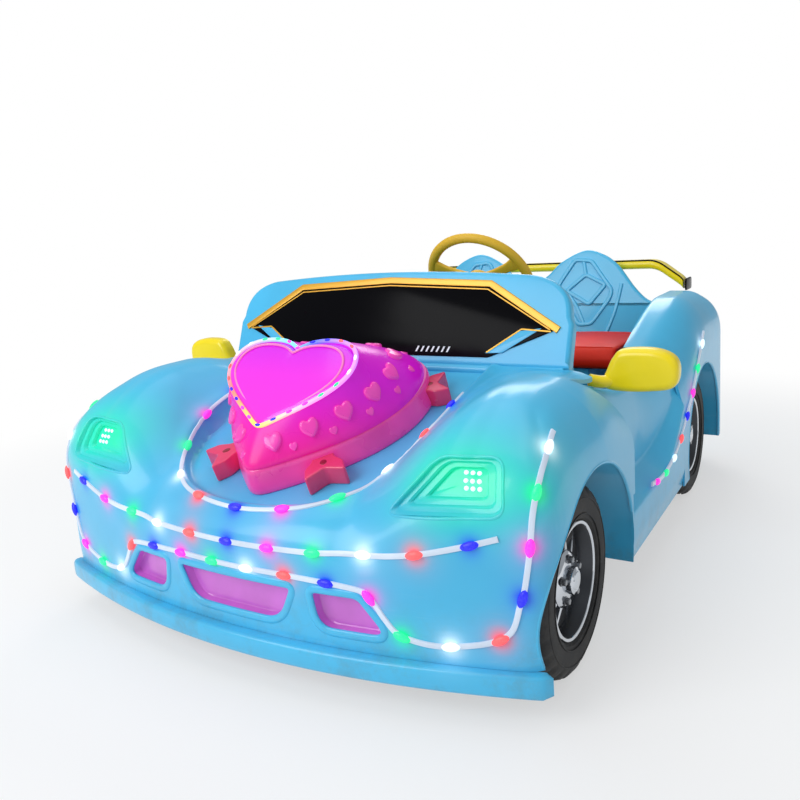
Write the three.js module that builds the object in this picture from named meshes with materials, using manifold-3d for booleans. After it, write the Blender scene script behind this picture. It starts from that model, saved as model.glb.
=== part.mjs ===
// A battery bumper car: moulded fibreglass body on a steel frame, four wheels and a steered front axle.
// Millimetres, +Z up, the nose towards -Y, the driver's left towards +X.
// Origin: middle of the overall box, on the floor.
import * as THREE from 'three';
import { mergeVertices } from 'three/addons/utils/BufferGeometryUtils.js';
import Module from 'manifold-3d';

const wasm = await Module();
wasm.setup();
const { clamp, lerp, smoothstep, degToRad } = THREE.MathUtils;

// ---- driving dimensions ----
const OVERALL_LENGTH = 1800;
const FRONT_OVERHANG = 310;
const WHEELBASE = 1046;
const BODY_HALF_WIDTH = 645;
const BODY_BOTTOM = 105;
const WALL = 6;
const GAP = 0.3;

const TYRE_RADIUS = 185;
const TYRE_WIDTH = 80;
const RIM_RADIUS = 114;
const WHEEL_INSET = 26;
const STUB_RADIUS = 12;
const KINGPIN_OFFSET = 58;
const KINGPIN_RADIUS = 8;
const STEER_ARM = 90;
const TIE_ROD_RADIUS = 8;

const NOSE_BOW = 85;
const TAIL_BOW = 60;
const HOOD_HEIGHT = 430;
const HOOD_SLOPE = 0.35;
const FENDER_HEIGHT = 556;
const FENDER_FALL = 26;
const FENDER_FALL_LENGTH = 170;
const REAR_FENDER_HEIGHT = 600;
const REAR_DECK_HEIGHT = 500;
const ARCH_CLEARANCE = 53;
const ARCH_DROP = 25;
const ARCH_SETBACK = 48;
const BASIN_DEPTH = 18;
const BASIN_HALF_WIDTH = 300;
const BASIN_FRONT = -225;
const CLIP_END = 300;
const DOOR_TOP = 458;
const DOOR_RECESS = 55;
const REAR_CLIP_START = 800;
const SEAT_HALF_WIDTH = 480;
const SEAT_WELL_END = 1325;

const LIP_HEIGHT = 45;
const LIP_PROUD = 25;

const COWL_HALF_WIDTH = 500;
const COWL_THICKNESS = 38;
const COWL_LEAN = 0.39;
const COWL_TOP = 754;
const COWL_BASE_Z = 548;
const COWL_CORNER = 90;

const HEART_TIP = -200;
const HEART_HALF_WIDTH = 235;
const HEART_WALL_HEIGHT = 57;
const HEART_DOME_RISE = 59;
const HEART_DOME_TILT = 0.444;

const CUSHION_TOP = 475;
const CUSHION_HEIGHT = 62;
const CUSHION_FRONT = 868;
const SEAT_BACK_Y = 1205;
const SEAT_BACK_LEAN = 0.3;
const SEAT_BACK_THICKNESS = 28;
const SEAT_PEAK = 742;
const SEAT_PEAK_X = 197;
const CUSHION_HALF = 430;
const SEAT_BACK_HALF = 470;

const WING_HALF_WIDTH = 535;
const WING_BEND_X = 432;
const WING_TOP = 697;
const WING_CHORD = 90;
const WING_THICKNESS = 34;
const WING_DROOP = 72;

const STEERING_X = 160;
const STEERING_Y = 575;
const STEERING_Z = 709;
const STEERING_RAKE = 33.5;
const STEERING_RADIUS = 140;
const STEERING_TUBE = 13;

const RAIL_X = 260;
const RAIL_WIDTH = 40;
const RAIL_HEIGHT = 34;
const FLOOR_THICKNESS = 4;
const AXLE_TUBE = 18;

const STRIP_WIDTH = 11;
const STRIP_HEIGHT = 4;

// ---- places worked out from them ----
const FRONT_END = -OVERALL_LENGTH / 2;
const FRONT_AXLE_Y = FRONT_END + FRONT_OVERHANG;
const REAR_AXLE_Y = FRONT_AXLE_Y + WHEELBASE;
const TAIL_Y = OVERALL_LENGTH / 2 - LIP_PROUD;
const NOSE_Y = FRONT_END + LIP_PROUD;
const WHEEL_FACE = BODY_HALF_WIDTH - WHEEL_INSET;
const WHEEL_X = WHEEL_FACE - TYRE_WIDTH / 2;
const KINGPIN_X = WHEEL_X - KINGPIN_OFFSET;
const ARCH_RADIUS = TYRE_RADIUS + ARCH_CLEARANCE;
const ARCH_Z = TYRE_RADIUS - ARCH_DROP;
const ARCH_FRONT_Y = FRONT_AXLE_Y + ARCH_SETBACK;
const ARCH_REAR_Y = REAR_AXLE_Y + ARCH_SETBACK;
const CLIP_END_Y = FRONT_AXLE_Y + CLIP_END;
const REAR_CLIP_Y = FRONT_AXLE_Y + REAR_CLIP_START;
const DOOR_FRONT_Y = ARCH_FRONT_Y + ARCH_RADIUS + 2;
const FLOOR_Z = TYRE_RADIUS - AXLE_TUBE - GAP;
const RAIL_Z = FLOOR_Z - RAIL_HEIGHT / 2;
const SIDES = [['left', 1], ['right', -1]];

// ---- finishes ----
const finish = (color, roughness, metalness = 0) =>
  new THREE.MeshStandardMaterial({ color, roughness, metalness });
const BODY_BLUE = finish(0x6fc8ec, 0.22);
const BLACK_GLOSS = finish(0x07090c, 0.08);
const GOLD = finish(0xe9c065, 0.35, 0.4);
const PURPLE = finish(0xc05cc0, 0.25);
const LAMP_GREEN = finish(0x36e2bc, 0.2);
const HEART_PINK = finish(0xf04cb8, 0.3);
const HEART_VIOLET = finish(0xe23cff, 0.25);
const STRIP_WHITE = finish(0xe8f0ff, 0.4);
const YELLOW = finish(0xffe02a, 0.35);
const STEERING_YELLOW = finish(0xebb932, 0.45);
const CUSHION_RED = finish(0xe8412a, 0.6);
const FRAME_BLACK = finish(0x1d1f22, 0.55, 0.3);
const STEEL = finish(0x9a9ea3, 0.4, 0.9);
const CHROME = finish(0xd9dde2, 0.12, 1);
const RUBBER = finish(0x1a1a1b, 0.85);

// ---- solids ----
function solidOf(geometry) {
  const bare = geometry.clone();
  bare.deleteAttribute('normal');
  bare.deleteAttribute('uv');
  const merged = mergeVertices(bare, 0.001);
  const corners = merged.index.array;
  const triVerts = [];
  for (let i = 0; i < corners.length; i += 3) {
    const [a, b, c] = [corners[i], corners[i + 1], corners[i + 2]];
    if (a !== b && b !== c && c !== a) triVerts.push(a, b, c);
  }
  return new wasm.Manifold(new wasm.Mesh({
    numProp: 3,
    vertProperties: new Float32Array(merged.attributes.position.array),
    triVerts: new Uint32Array(triVerts),
  }));
}

function geometryOf(solid) {
  const mesh = solid.getMesh();
  const geometry = new THREE.BufferGeometry();
  geometry.setAttribute('position', new THREE.BufferAttribute(mesh.vertProperties, 3));
  geometry.setIndex(new THREE.BufferAttribute(mesh.triVerts, 1));
  geometry.computeVertexNormals();
  return geometry;
}

const placed = (solid, matrix) => solidOf(geometryOf(solid).applyMatrix4(matrix));
const joined = (solids) => solids.reduce((all, solid) => all.add(solid));
const cut = (solid, cutters) => cutters.reduce((rest, cutter) => rest.subtract(cutter), solid);

function block(width, length, height, x, y, z) {
  return solidOf(new THREE.BoxGeometry(width, length, height).translate(x, y, z));
}

function rod(radius, from, to, sides = 16) {
  const start = new THREE.Vector3(...from);
  const along = new THREE.Vector3(...to).sub(start);
  const turn = new THREE.Quaternion().setFromUnitVectors(
    new THREE.Vector3(0, 1, 0), along.clone().normalize());
  const geometry = new THREE.CylinderGeometry(radius, radius, along.length(), sides);
  geometry.applyQuaternion(turn);
  const middle = start.addScaledVector(along, 0.5);
  return solidOf(geometry.translate(middle.x, middle.y, middle.z));
}

const discAcross = (radius, x0, x1, y, z, sides = 32) => rod(radius, [x0, y, z], [x1, y, z], sides);

// a plan outline raised between two heights
function upright(shape, z0, z1, curveSegments = 12) {
  const geometry = new THREE.ExtrudeGeometry(shape, { depth: z1 - z0, bevelEnabled: false, curveSegments });
  return solidOf(geometry.translate(0, 0, z0));
}

// an outline drawn in X and Z, extruded along Y
function facing(shape, y0, y1, curveSegments = 12) {
  const geometry = new THREE.ExtrudeGeometry(shape, { depth: y1 - y0, bevelEnabled: false, curveSegments });
  return solidOf(geometry.rotateX(Math.PI / 2).translate(0, y1, 0));
}

// a band of the given width to both sides of a line of points
function band(points, width) {
  const along = points.map(([a, b]) => new THREE.Vector3(a, b, 0));
  const curve = new THREE.CatmullRomCurve3(along, false, 'centripetal');
  const count = points.length * 2;
  const left = [];
  const right = [];
  for (let i = 0; i <= count; i += 1) {
    const at = curve.getPoint(i / count);
    const way = curve.getTangent(i / count);
    left.push(new THREE.Vector2(at.x - way.y * width / 2, at.y + way.x * width / 2));
    right.unshift(new THREE.Vector2(at.x + way.y * width / 2, at.y - way.x * width / 2));
  }
  return new THREE.Shape([...left, ...right]);
}

function roundedBox(width, height, radius, x = 0, y = 0) {
  const shape = new THREE.Shape();
  const [w, h] = [width / 2, height / 2];
  shape.moveTo(x - w + radius, y - h);
  shape.lineTo(x + w - radius, y - h);
  shape.absarc(x + w - radius, y - h + radius, radius, -Math.PI / 2, 0);
  shape.lineTo(x + w, y + h - radius);
  shape.absarc(x + w - radius, y + h - radius, radius, 0, Math.PI / 2);
  shape.lineTo(x - w + radius, y + h);
  shape.absarc(x - w + radius, y + h - radius, radius, Math.PI / 2, Math.PI);
  shape.lineTo(x - w, y - h + radius);
  shape.absarc(x - w + radius, y - h + radius, radius, Math.PI, Math.PI * 1.5);
  return shape;
}

const polygon = (points) => new THREE.Shape(points.map(([a, b]) => new THREE.Vector2(a, b)));

// ---- the moulded skin ----
const noseLine = (x) => NOSE_Y + NOSE_BOW * (x / 600) ** 2;
const tailLine = (x) => TAIL_Y - TAIL_BOW * (x / 600) ** 2;
const hoodPlane = (y) => HOOD_HEIGHT + HOOD_SLOPE * (y - FRONT_AXLE_Y);

// crest of the front fender, easing down to the door behind it
const fenderFall = (y) => FENDER_FALL * smoothstep(y, CLIP_END_Y - FENDER_FALL_LENGTH, CLIP_END_Y);
const fenderTop = (y) => FENDER_HEIGHT - fenderFall(y);

const FRONT_SKIN = {
  end: -1,
  endLine: noseLine,
  crown: (x, y) => lerp(hoodPlane(y), fenderTop(y), smoothstep(Math.abs(x), 240, 480)),
  endRadius: (x) => lerp(60, 300, smoothstep(Math.abs(x), 180, 480)),
  endDrop: (x) => lerp(50, 250, smoothstep(Math.abs(x), 180, 480)),
  sideRadius: () => 150,
  sideDrop: () => 170,
  inner: CLIP_END_Y,
};

// top edge of the body side, from the cowl down to the door and up to the rear fender
const sideTop = (y) => {
  const fall = 1 - smoothstep(y, CLIP_END_Y + 10, FRONT_AXLE_Y + 520);
  const rise = smoothstep(y, FRONT_AXLE_Y + 640, FRONT_AXLE_Y + 1130);
  return DOOR_TOP + 60 * fall + (REAR_FENDER_HEIGHT - DOOR_TOP) * rise;
};
const REAR_SKIN = {
  end: 1,
  endLine: tailLine,
  crown: (x, y) => lerp(REAR_DECK_HEIGHT, sideTop(y), smoothstep(Math.abs(x), 430, 500)),
  endRadius: () => 150,
  endDrop: () => 130,
  sideRadius: (y) => lerp(120, 100, smoothstep(y, REAR_CLIP_Y, REAR_AXLE_Y)),
  sideDrop: (y) => lerp(220, 150, smoothstep(y, REAR_CLIP_Y, REAR_AXLE_Y)),
  inner: REAR_CLIP_Y,
};

const CROWN_POWER = 3;
const WALL_POWER = 8;
const FRONT_GRID = [24, 11];
const REAR_GRID = [20, 12];

// how far a point lies into the rolled edges: 0 on the crown, 1 on the wall
function rollAt(skin, x, y, inset) {
  const inward = (skin.endLine(x) - y) * skin.end - inset;
  const end = clamp(1 - inward / skin.endRadius(x), 0, 1);
  const side = clamp(1 - (BODY_HALF_WIDTH - inset - Math.abs(x)) / skin.sideRadius(y), 0, 1);
  const power = lerp(CROWN_POWER, WALL_POWER, smoothstep(Math.max(end, side), 0.4, 1));
  const roll = (end ** power + side ** power) ** (1 / power);
  const share = end + side > 0 ? end / (end + side) : 0;
  return { roll, drop: lerp(skin.sideDrop(y), skin.endDrop(x), share) };
}

// the block of material under the skin, its outline and top drawn in by the inset
function moulding(skin, inset, bottom, across, along, past = 0) {
  const geometry = new THREE.BoxGeometry(2, 1, 1, across, along, 1);
  const position = geometry.attributes.position;
  const edge = BODY_HALF_WIDTH - inset;
  for (let i = 0; i < position.count; i += 1) {
    let x = Math.sin(position.getX(i) * Math.PI / 2) * edge;
    const depth = position.getY(i) * skin.end + 0.5;
    const endY = skin.endLine(x) - skin.end * inset;
    let y = lerp(skin.inner - skin.end * past, endY, Math.sin(depth * Math.PI / 2));
    const { roll, drop } = rollAt(skin, x, y, inset);
    if (roll > 1) {
      const centreX = Math.sign(x) * (edge - skin.sideRadius(y));
      const centreY = endY - skin.end * skin.endRadius(x);
      x = centreX + (x - centreX) / roll;
      y = centreY + (y - centreY) / roll;
    }
    const held = Math.min(roll, 1);
    const top = skin.crown(x, y) - inset - drop * (1 - Math.sqrt(1 - held * held));
    position.setXYZ(i, x, y, position.getZ(i) > 0 ? top : bottom);
  }
  return solidOf(geometry);
}

// a layer that lies on the skin
function layer(skin, low, high, across, along) {
  return moulding(skin, -high, BODY_BOTTOM - 40, across, along)
    .subtract(moulding(skin, -low, BODY_BOTTOM - 60, across, along));
}

// the egg-shaped basin in the hood, grown outwards by a margin
function basinOutline(margin) {
  const shape = new THREE.Shape();
  const half = BASIN_HALF_WIDTH + margin;
  const front = FRONT_AXLE_Y + BASIN_FRONT - margin;
  shape.moveTo(-half, CLIP_END_Y + 50);
  shape.lineTo(-half, FRONT_AXLE_Y + 40);
  shape.bezierCurveTo(-half, front + 60, -half * 0.55, front, 0, front);
  shape.bezierCurveTo(half * 0.55, front, half, front + 60, half, FRONT_AXLE_Y + 40);
  shape.lineTo(half, CLIP_END_Y + 50);
  return shape;
}

// everything above the basin floor, inside its outline
function basinCutter(margin) {
  const height = 400;
  const cutter = new THREE.ExtrudeGeometry(basinOutline(margin),
    { depth: height, bevelEnabled: false, curveSegments: 10 });
  const position = cutter.attributes.position;
  for (let i = 0; i < position.count; i += 1) {
    const floor = hoodPlane(position.getY(i)) - BASIN_DEPTH - margin;
    position.setZ(i, floor + position.getZ(i));
  }
  return solidOf(cutter);
}

function wheelArch(side, y, radius = ARCH_RADIUS) {
  return discAcross(radius, side * 470, side * 700, y, ARCH_Z);
}

// ---- openings in the nose ----
const GRILLE_TOP = 212;
const GRILLE_BOTTOM = 140;
const GRILLE_PANEL_MARGIN = 15;
const GRILLE_CENTRE_TOP = 149;
const GRILLE_CENTRE_BOTTOM = 116;
const GRILLE_SIDE_IN = 192;
const GRILLE_SIDE_TOP = 292;
const GRILLE_SIDE_TIP = 350;

function grilleOpenings() {
  const centre = polygon([[-GRILLE_CENTRE_BOTTOM, GRILLE_BOTTOM], [GRILLE_CENTRE_BOTTOM, GRILLE_BOTTOM],
    [GRILLE_CENTRE_TOP, GRILLE_TOP], [-GRILLE_CENTRE_TOP, GRILLE_TOP]]);
  const openings = [centre];
  for (const [, side] of SIDES) {
    const corners = [[side * (GRILLE_SIDE_IN + 12), GRILLE_BOTTOM], [side * GRILLE_SIDE_TIP, GRILLE_BOTTOM],
      [side * GRILLE_SIDE_TOP, GRILLE_TOP], [side * GRILLE_SIDE_IN, GRILLE_TOP]];
    openings.push(polygon(side > 0 ? corners : corners.reverse()));
  }
  return openings.map((shape) => facing(shape, FRONT_END - 50, FRONT_END + 120));
}

// ---- headlight recess: a swept-back triangle seen from the front ----
const HEADLIGHT_CORNERS = [[338, 364], [566, 380], [548, 470], [425, 466]];
const HEADLIGHT_MIDDLE = [470, 418];
const HEADLIGHT_REACH = 60;

function headlightOutline(side, margin) {
  const share = 1 + margin / HEADLIGHT_REACH;
  const placed = HEADLIGHT_CORNERS.map((corner) =>
    corner.map((value, i) => (lerp(HEADLIGHT_MIDDLE[i], value, share)) * (i === 0 ? side : 1)));
  return facing(polygon(side > 0 ? placed : placed.reverse()), FRONT_END - 50, FRONT_AXLE_Y + 60);
}

// the fender's rounded trailing edge, seen from the side
const TRAIL_RADIUS = 262;
const TRAIL_Y = FRONT_AXLE_Y + 50;
const TRAIL_Z = 300;
const TRAIL_DEPTH = 110;

function frontBodyShell() {
  const outer = moulding(FRONT_SKIN, 0, BODY_BOTTOM, ...FRONT_GRID).subtract(basinCutter(0));
  const inner = moulding(FRONT_SKIN, WALL, BODY_BOTTOM - 20, ...FRONT_GRID, 8).subtract(basinCutter(WALL));
  const cutters = [inner, ...grilleOpenings()];
  for (const [, side] of SIDES) {
    const behindX = side * (BODY_HALF_WIDTH - TRAIL_DEPTH / 2 + 20);
    const behind = block(TRAIL_DEPTH, 300, 700, behindX, TRAIL_Y + 150, 300);
    const kept = discAcross(TRAIL_RADIUS, side * 500, side * 700, TRAIL_Y, TRAIL_Z);
    const heel = block(150, 100, TRAIL_Z - 40, side * 620, DOOR_FRONT_Y + 50 - GAP, (TRAIL_Z - 40) / 2);
    cutters.push(wheelArch(side, ARCH_FRONT_Y), headlightOutline(side, 0), behind.subtract(kept), heel);
  }
  return cut(outer, cutters);
}

function headlight(side) {
  const lens = layer(FRONT_SKIN, -8, -3, ...FRONT_GRID);
  return lens.intersect(headlightOutline(side, -0.45));
}

function frontLip() {
  const outline = new THREE.Shape();
  const reach = BODY_HALF_WIDTH - 22;
  const bow = (x) => FRONT_END + (NOSE_BOW + 7) * (x / 600) ** 2;
  const steps = 18;
  for (let i = 0; i <= steps; i += 1) {
    const x = lerp(-reach, reach, i / steps);
    if (i === 0) outline.moveTo(x, bow(x));
    else outline.lineTo(x, bow(x));
  }
  outline.absarc(reach, bow(reach) + 14, 14, -Math.PI / 2, Math.PI / 2);
  for (let i = steps; i >= 0; i -= 1) {
    const x = lerp(-reach, reach, i / steps);
    outline.lineTo(x, noseLine(x) + WALL + 6);
  }
  outline.absarc(-reach, bow(reach) + 14, 14, Math.PI / 2, Math.PI * 1.5);
  return upright(outline, BODY_BOTTOM - GAP - LIP_HEIGHT, BODY_BOTTOM - GAP, 5);
}

// ---- doors: the body side between the wheel arches, hollowed above a sweeping line ----
const sweepLine = (y) => 215 + 250 * smoothstep(y, FRONT_AXLE_Y + 560, FRONT_AXLE_Y + 1050);

function doorSkin(y, z, inset) {
  const recess = smoothstep(z, sweepLine(y) - 5, sweepLine(y) + 45);
  const fade = smoothstep(REAR_CLIP_Y - y, -60, 260);
  const lean = 45 * smoothstep(z, 330, 560);
  const sill = 8 * smoothstep(160 - z, 0, 60);
  return BODY_HALF_WIDTH - inset - DOOR_RECESS * recess * lerp(0.35, 1, fade) - lean * recess - sill;
}

function doorPanel(side, grow = 0) {
  const geometry = new THREE.BoxGeometry(1, 1, 1, 1, 12, 10);
  const position = geometry.attributes.position;
  for (let i = 0; i < position.count; i += 1) {
    const b = position.getZ(i) + 0.5;
    const roughY = lerp(DOOR_FRONT_Y, REAR_CLIP_Y - GAP, position.getY(i) + 0.5);
    const z = lerp(BODY_BOTTOM, sideTop(roughY), b);
    const front = DOOR_FRONT_Y - 40 * smoothstep(z, 300, 340) - 90 * smoothstep(z, 380, 520);
    const y = lerp(front, REAR_CLIP_Y - GAP, position.getY(i) + 0.5);
    const outside = position.getX(i) * side > 0;
    position.setXYZ(i, side * doorSkin(y, z, outside ? -grow : WALL + 2), y, z);
  }
  return solidOf(geometry).subtract(wheelArch(side, ARCH_REAR_Y));
}

function rearLip() {
  const outline = new THREE.Shape();
  const reach = 560;
  const steps = 14;
  const bow = (x) => OVERALL_LENGTH / 2 - TAIL_BOW * (x / 600) ** 2;
  for (let i = 0; i <= steps; i += 1) {
    const x = lerp(-reach, reach, i / steps);
    if (i === 0) outline.moveTo(x, bow(x) - 50);
    else outline.lineTo(x, bow(x) - 50);
  }
  for (let i = steps; i >= 0; i -= 1) {
    const x = lerp(-reach, reach, i / steps);
    outline.lineTo(x, bow(x));
  }
  return upright(outline, BODY_BOTTOM - GAP - LIP_HEIGHT, BODY_BOTTOM + 4, 5);
}

function rearBodyShell() {
  const outer = moulding(REAR_SKIN, 0, BODY_BOTTOM, ...REAR_GRID);
  const inner = moulding(REAR_SKIN, WALL, BODY_BOTTOM - 20, ...REAR_GRID, 8);
  const wellEnd = FRONT_AXLE_Y + SEAT_WELL_END;
  const well = block(2 * SEAT_HALF_WIDTH, 800, 700, 0, wellEnd - 400, 400);
  const cutters = [inner, well];
  for (const [, side] of SIDES) cutters.push(wheelArch(side, ARCH_REAR_Y));
  return cut(outer, cutters).add(rearLip());
}

// ---- windscreen cowl: an upright moulding that leans back, drawn in its own plane ----
const cowlUp = Math.hypot(1, COWL_LEAN);
const COWL_CLEARANCE = 8;
const COWL_HEIGHT = (COWL_TOP - COWL_BASE_Z) * cowlUp;

function onCowl(solid) {
  const place = new THREE.Matrix4().makeRotationX(-Math.atan(COWL_LEAN));
  place.setPosition(0, CLIP_END_Y + COWL_CLEARANCE, COWL_BASE_Z);
  return placed(solid, place);
}

// top edge of the cowl, slightly arched
const cowlArch = (x, drop) => COWL_HEIGHT - drop - 28 * (x / COWL_HALF_WIDTH) ** 2;

function cowlOutline() {
  const shape = new THREE.Shape();
  const [w, r] = [COWL_HALF_WIDTH, COWL_CORNER];
  shape.moveTo(w, -20);
  shape.lineTo(w - 8, cowlArch(w, r));
  shape.quadraticCurveTo(w - 10, cowlArch(w, 6), w - r - 20, cowlArch(w - r - 20, 0));
  for (let i = 1; i < 8; i += 1) {
    const x = lerp(w - r - 20, -(w - r - 20), i / 8);
    shape.lineTo(x, cowlArch(x, 0));
  }
  shape.lineTo(-(w - r - 20), cowlArch(w - r - 20, 0));
  shape.quadraticCurveTo(-(w - 10), cowlArch(w, 6), -(w - 8), cowlArch(w, r));
  shape.lineTo(-w, -20);
  return shape;
}

const PANEL_TOP = 30;
const PANEL_HALF = 285;
const PANEL_TIP_X = 462;
const PANEL_TIP_Z = 70;
const PANEL_LOW_HALF = 300;
const TRIM_WIDTH = 12;

function panelOutline(grow, topOnly = false) {
  const top = cowlArch(0, PANEL_TOP) + grow;
  const points = [[-PANEL_LOW_HALF, 2], [PANEL_LOW_HALF, 2], [PANEL_TIP_X + grow * 1.4, PANEL_TIP_Z],
    [PANEL_HALF + grow * 0.4, top - 14], [0, top], [-PANEL_HALF - grow * 0.4, top - 14],
    [-PANEL_TIP_X - grow * 1.4, PANEL_TIP_Z]];
  return polygon(topOnly ? points.slice(2) : points);
}

function windscreenCowl() {
  return onCowl(facing(cowlOutline(), 0, COWL_THICKNESS, 8));
}

const SHEET = 3;

function windscreenPanel() {
  return onCowl(facing(panelOutline(0), -SHEET - GAP, -GAP));
}

function windscreenTrim() {
  const outside = facing(panelOutline(TRIM_WIDTH, true), -SHEET - 1, -GAP);
  const inside = facing(panelOutline(GAP), -SHEET - 5, 5);
  return onCowl(outside.subtract(inside));
}

const DASH_HALF = 440;
const DASH_BASE_Z = 500;
const DASH_BROW_Z = 640;
const DASH_TOP_Z = 668;

function dashboard(grow = 0) {
  const y0 = CLIP_END_Y + COWL_THICKNESS * cowlUp + 10;
  const side = polygon([[y0 - 20, DASH_BASE_Z], [y0 + 70 + grow, DASH_BASE_Z], [y0 + 80 + grow, DASH_BROW_Z],
    [y0 + 55, DASH_TOP_Z + grow], [y0 + 45, DASH_TOP_Z + grow]]);
  const geometry = new THREE.ExtrudeGeometry(side, { depth: 2 * DASH_HALF, bevelEnabled: false });
  return solidOf(geometry.rotateX(Math.PI / 2).rotateZ(Math.PI / 2).translate(-DASH_HALF, 0, 0));
}

// ---- heart lamp: stands on the basin floor, drawn flat and tipped with the hood ----
const HEART_Y = FRONT_AXLE_Y + HEART_TIP;
const heartPlace = new THREE.Matrix4().makeRotationX(Math.atan(HOOD_SLOPE));
heartPlace.setPosition(0, HEART_Y, hoodPlane(HEART_Y) - BASIN_DEPTH + GAP);
const HEART_LENGTH = HEART_HALF_WIDTH * 2.1;

// tip at the origin, lobes towards +Y
function heartOutline(half, length, tipY = 0) {
  const shape = new THREE.Shape();
  const [h, l] = [half, length];
  shape.moveTo(0, tipY);
  shape.bezierCurveTo(h * 0.4, tipY + l * 0.14, h, tipY + l * 0.36, h, tipY + l * 0.66);
  shape.bezierCurveTo(h, tipY + l * 0.9, h * 0.76, tipY + l, h * 0.5, tipY + l);
  shape.bezierCurveTo(h * 0.25, tipY + l, h * 0.06, tipY + l * 0.95, 0, tipY + l * 0.84);
  shape.bezierCurveTo(-h * 0.06, tipY + l * 0.95, -h * 0.25, tipY + l, -h * 0.5, tipY + l);
  shape.bezierCurveTo(-h * 0.76, tipY + l, -h, tipY + l * 0.9, -h, tipY + l * 0.66);
  shape.bezierCurveTo(-h, tipY + l * 0.36, -h * 0.4, tipY + l * 0.14, 0, tipY);
  return shape;
}

const LUG_SPOTS = [[132, 92], [218, 400]];
const LUG_LENGTH = 70;
const LUG_HEIGHT = 40;

function heartLampBase() {
  const wall = upright(heartOutline(HEART_HALF_WIDTH, HEART_LENGTH), 0, HEART_WALL_HEIGHT, 7);
  const parts = [wall];
  for (const [x, y] of LUG_SPOTS) {
    for (const [, side] of SIDES) {
      const lug = roundedBox(LUG_LENGTH, LUG_LENGTH, 14, side * x, y);
      parts.push(upright(lug, 0, LUG_HEIGHT, 3));
    }
  }
  return placed(joined(parts), heartPlace);
}

// share of the rise, and how far the outline has drawn in towards the top plate
const DOME_STEPS = [[0, 0], [0.4, 0.35], [0.8, 0.75], [1, 1]];
const PLATE_WIDTH_SHARE = 0.71;
const PLATE_TIP = 76;
const PLATE_LENGTH = 209;
const PLATE_STRETCH = 0.8;

// the top plate is a shorter, broader heart, tilted up towards its lobes
function heartLampDome() {
  const levels = DOME_STEPS.length - 1;
  const geometry = new THREE.ExtrudeGeometry(heartOutline(HEART_HALF_WIDTH - 4, HEART_LENGTH - 8, 4),
    { depth: levels, steps: levels, bevelEnabled: false, curveSegments: 6 });
  const position = geometry.attributes.position;
  for (let i = 0; i < position.count; i += 1) {
    const [rise, draw] = DOME_STEPS[Math.round(position.getZ(i))];
    const [baseX, baseY] = [position.getX(i), position.getY(i)];
    const plateY = PLATE_TIP + PLATE_LENGTH * (baseY / HEART_LENGTH) ** PLATE_STRETCH;
    const lift = (HEART_DOME_RISE + HEART_DOME_TILT * (plateY - PLATE_TIP)) * rise;
    position.setXYZ(i, baseX * lerp(1, PLATE_WIDTH_SHARE, draw), lerp(baseY, plateY, draw),
      HEART_WALL_HEIGHT + GAP + lift);
  }
  return placed(solidOf(geometry), heartPlace);
}

// ---- light strips: ribbons on the skin ----
const onSkin = layer(FRONT_SKIN, GAP, STRIP_HEIGHT, ...FRONT_GRID)
  .subtract(moulding(FRONT_SKIN, 0, BODY_BOTTOM - 60, ...FRONT_GRID));
// plan of the hood strip, measured from the front axle
const HOOD_STRIP = [[-312, 150], [-312, 20], [-290, -80], [-240, -165], [-150, -228], [0, -250], [150, -228],
  [240, -165], [290, -80], [312, 20], [312, 150]];

function hoodLightStrip() {
  const line = HOOD_STRIP.map(([x, y]) => [x, y + FRONT_AXLE_Y]);
  return onSkin.intersect(upright(band(line, STRIP_WIDTH), 200, 700));
}

const NOSE_STRIP = [[-556, 346], [-480, 324], [-390, 304], [-280, 293], [0, 285], [280, 293], [390, 304],
  [480, 324], [556, 346]];
// right half of the bumper strip: over the grille, down to the lip and up the fender's corner
const BUMPER_HALF = [[0, 236], [150, 237], [290, 230], [320, 214], [345, 178], [370, 152], [418, 140], [467, 141],
  [534, 155], [571, 179], [587, 229], [595, 257], [606, 333], [609, 389], [610, 436], [606, 472], [599, 494]];
const BUMPER_STRIP = [...BUMPER_HALF.slice(1).reverse().map(([x, z]) => [-x, z]), ...BUMPER_HALF];

function noseStrip(line) {
  return onSkin.intersect(facing(band(line, STRIP_WIDTH), FRONT_END - 20, FRONT_AXLE_Y + 60));
}

// the haunch strip lies on the door and the rear fender, so it is one thin plate set just off both
const HAUNCH_STRIP = [[440, 232], [560, 218], [700, 240], [820, 300], [900, 352], [1000, 440], [1060, 500]];

function haunchStrip(side) {
  const line = HAUNCH_STRIP.map(([y, z]) => [y + FRONT_AXLE_Y, z]);
  const geometry = new THREE.ExtrudeGeometry(band(line, STRIP_WIDTH),
    { depth: STRIP_HEIGHT, bevelEnabled: false });
  geometry.rotateX(Math.PI / 2).rotateZ(Math.PI / 2);
  const x = BODY_HALF_WIDTH + GAP;
  return solidOf(geometry.translate(side > 0 ? x : -x - STRIP_HEIGHT, 0, 0));
}

// ---- grille panel behind the openings ----
function grillePanel() {
  const sheet = layer(FRONT_SKIN, -WALL - 8, -WALL - 4, ...FRONT_GRID);
  const height = GRILLE_TOP + GRILLE_PANEL_MARGIN - BODY_BOTTOM;
  const width = 2 * (GRILLE_SIDE_TIP + GRILLE_PANEL_MARGIN);
  const outline = roundedBox(width, height, 10, 0, BODY_BOTTOM + height / 2);
  return sheet.intersect(facing(outline, FRONT_END, FRONT_AXLE_Y));
}

// ---- cabin ----
const cabinY = (y) => FRONT_AXLE_Y + y;

const FLOOR_HALF = 600;
const TOE_BOARD_TOP = 495;

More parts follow.
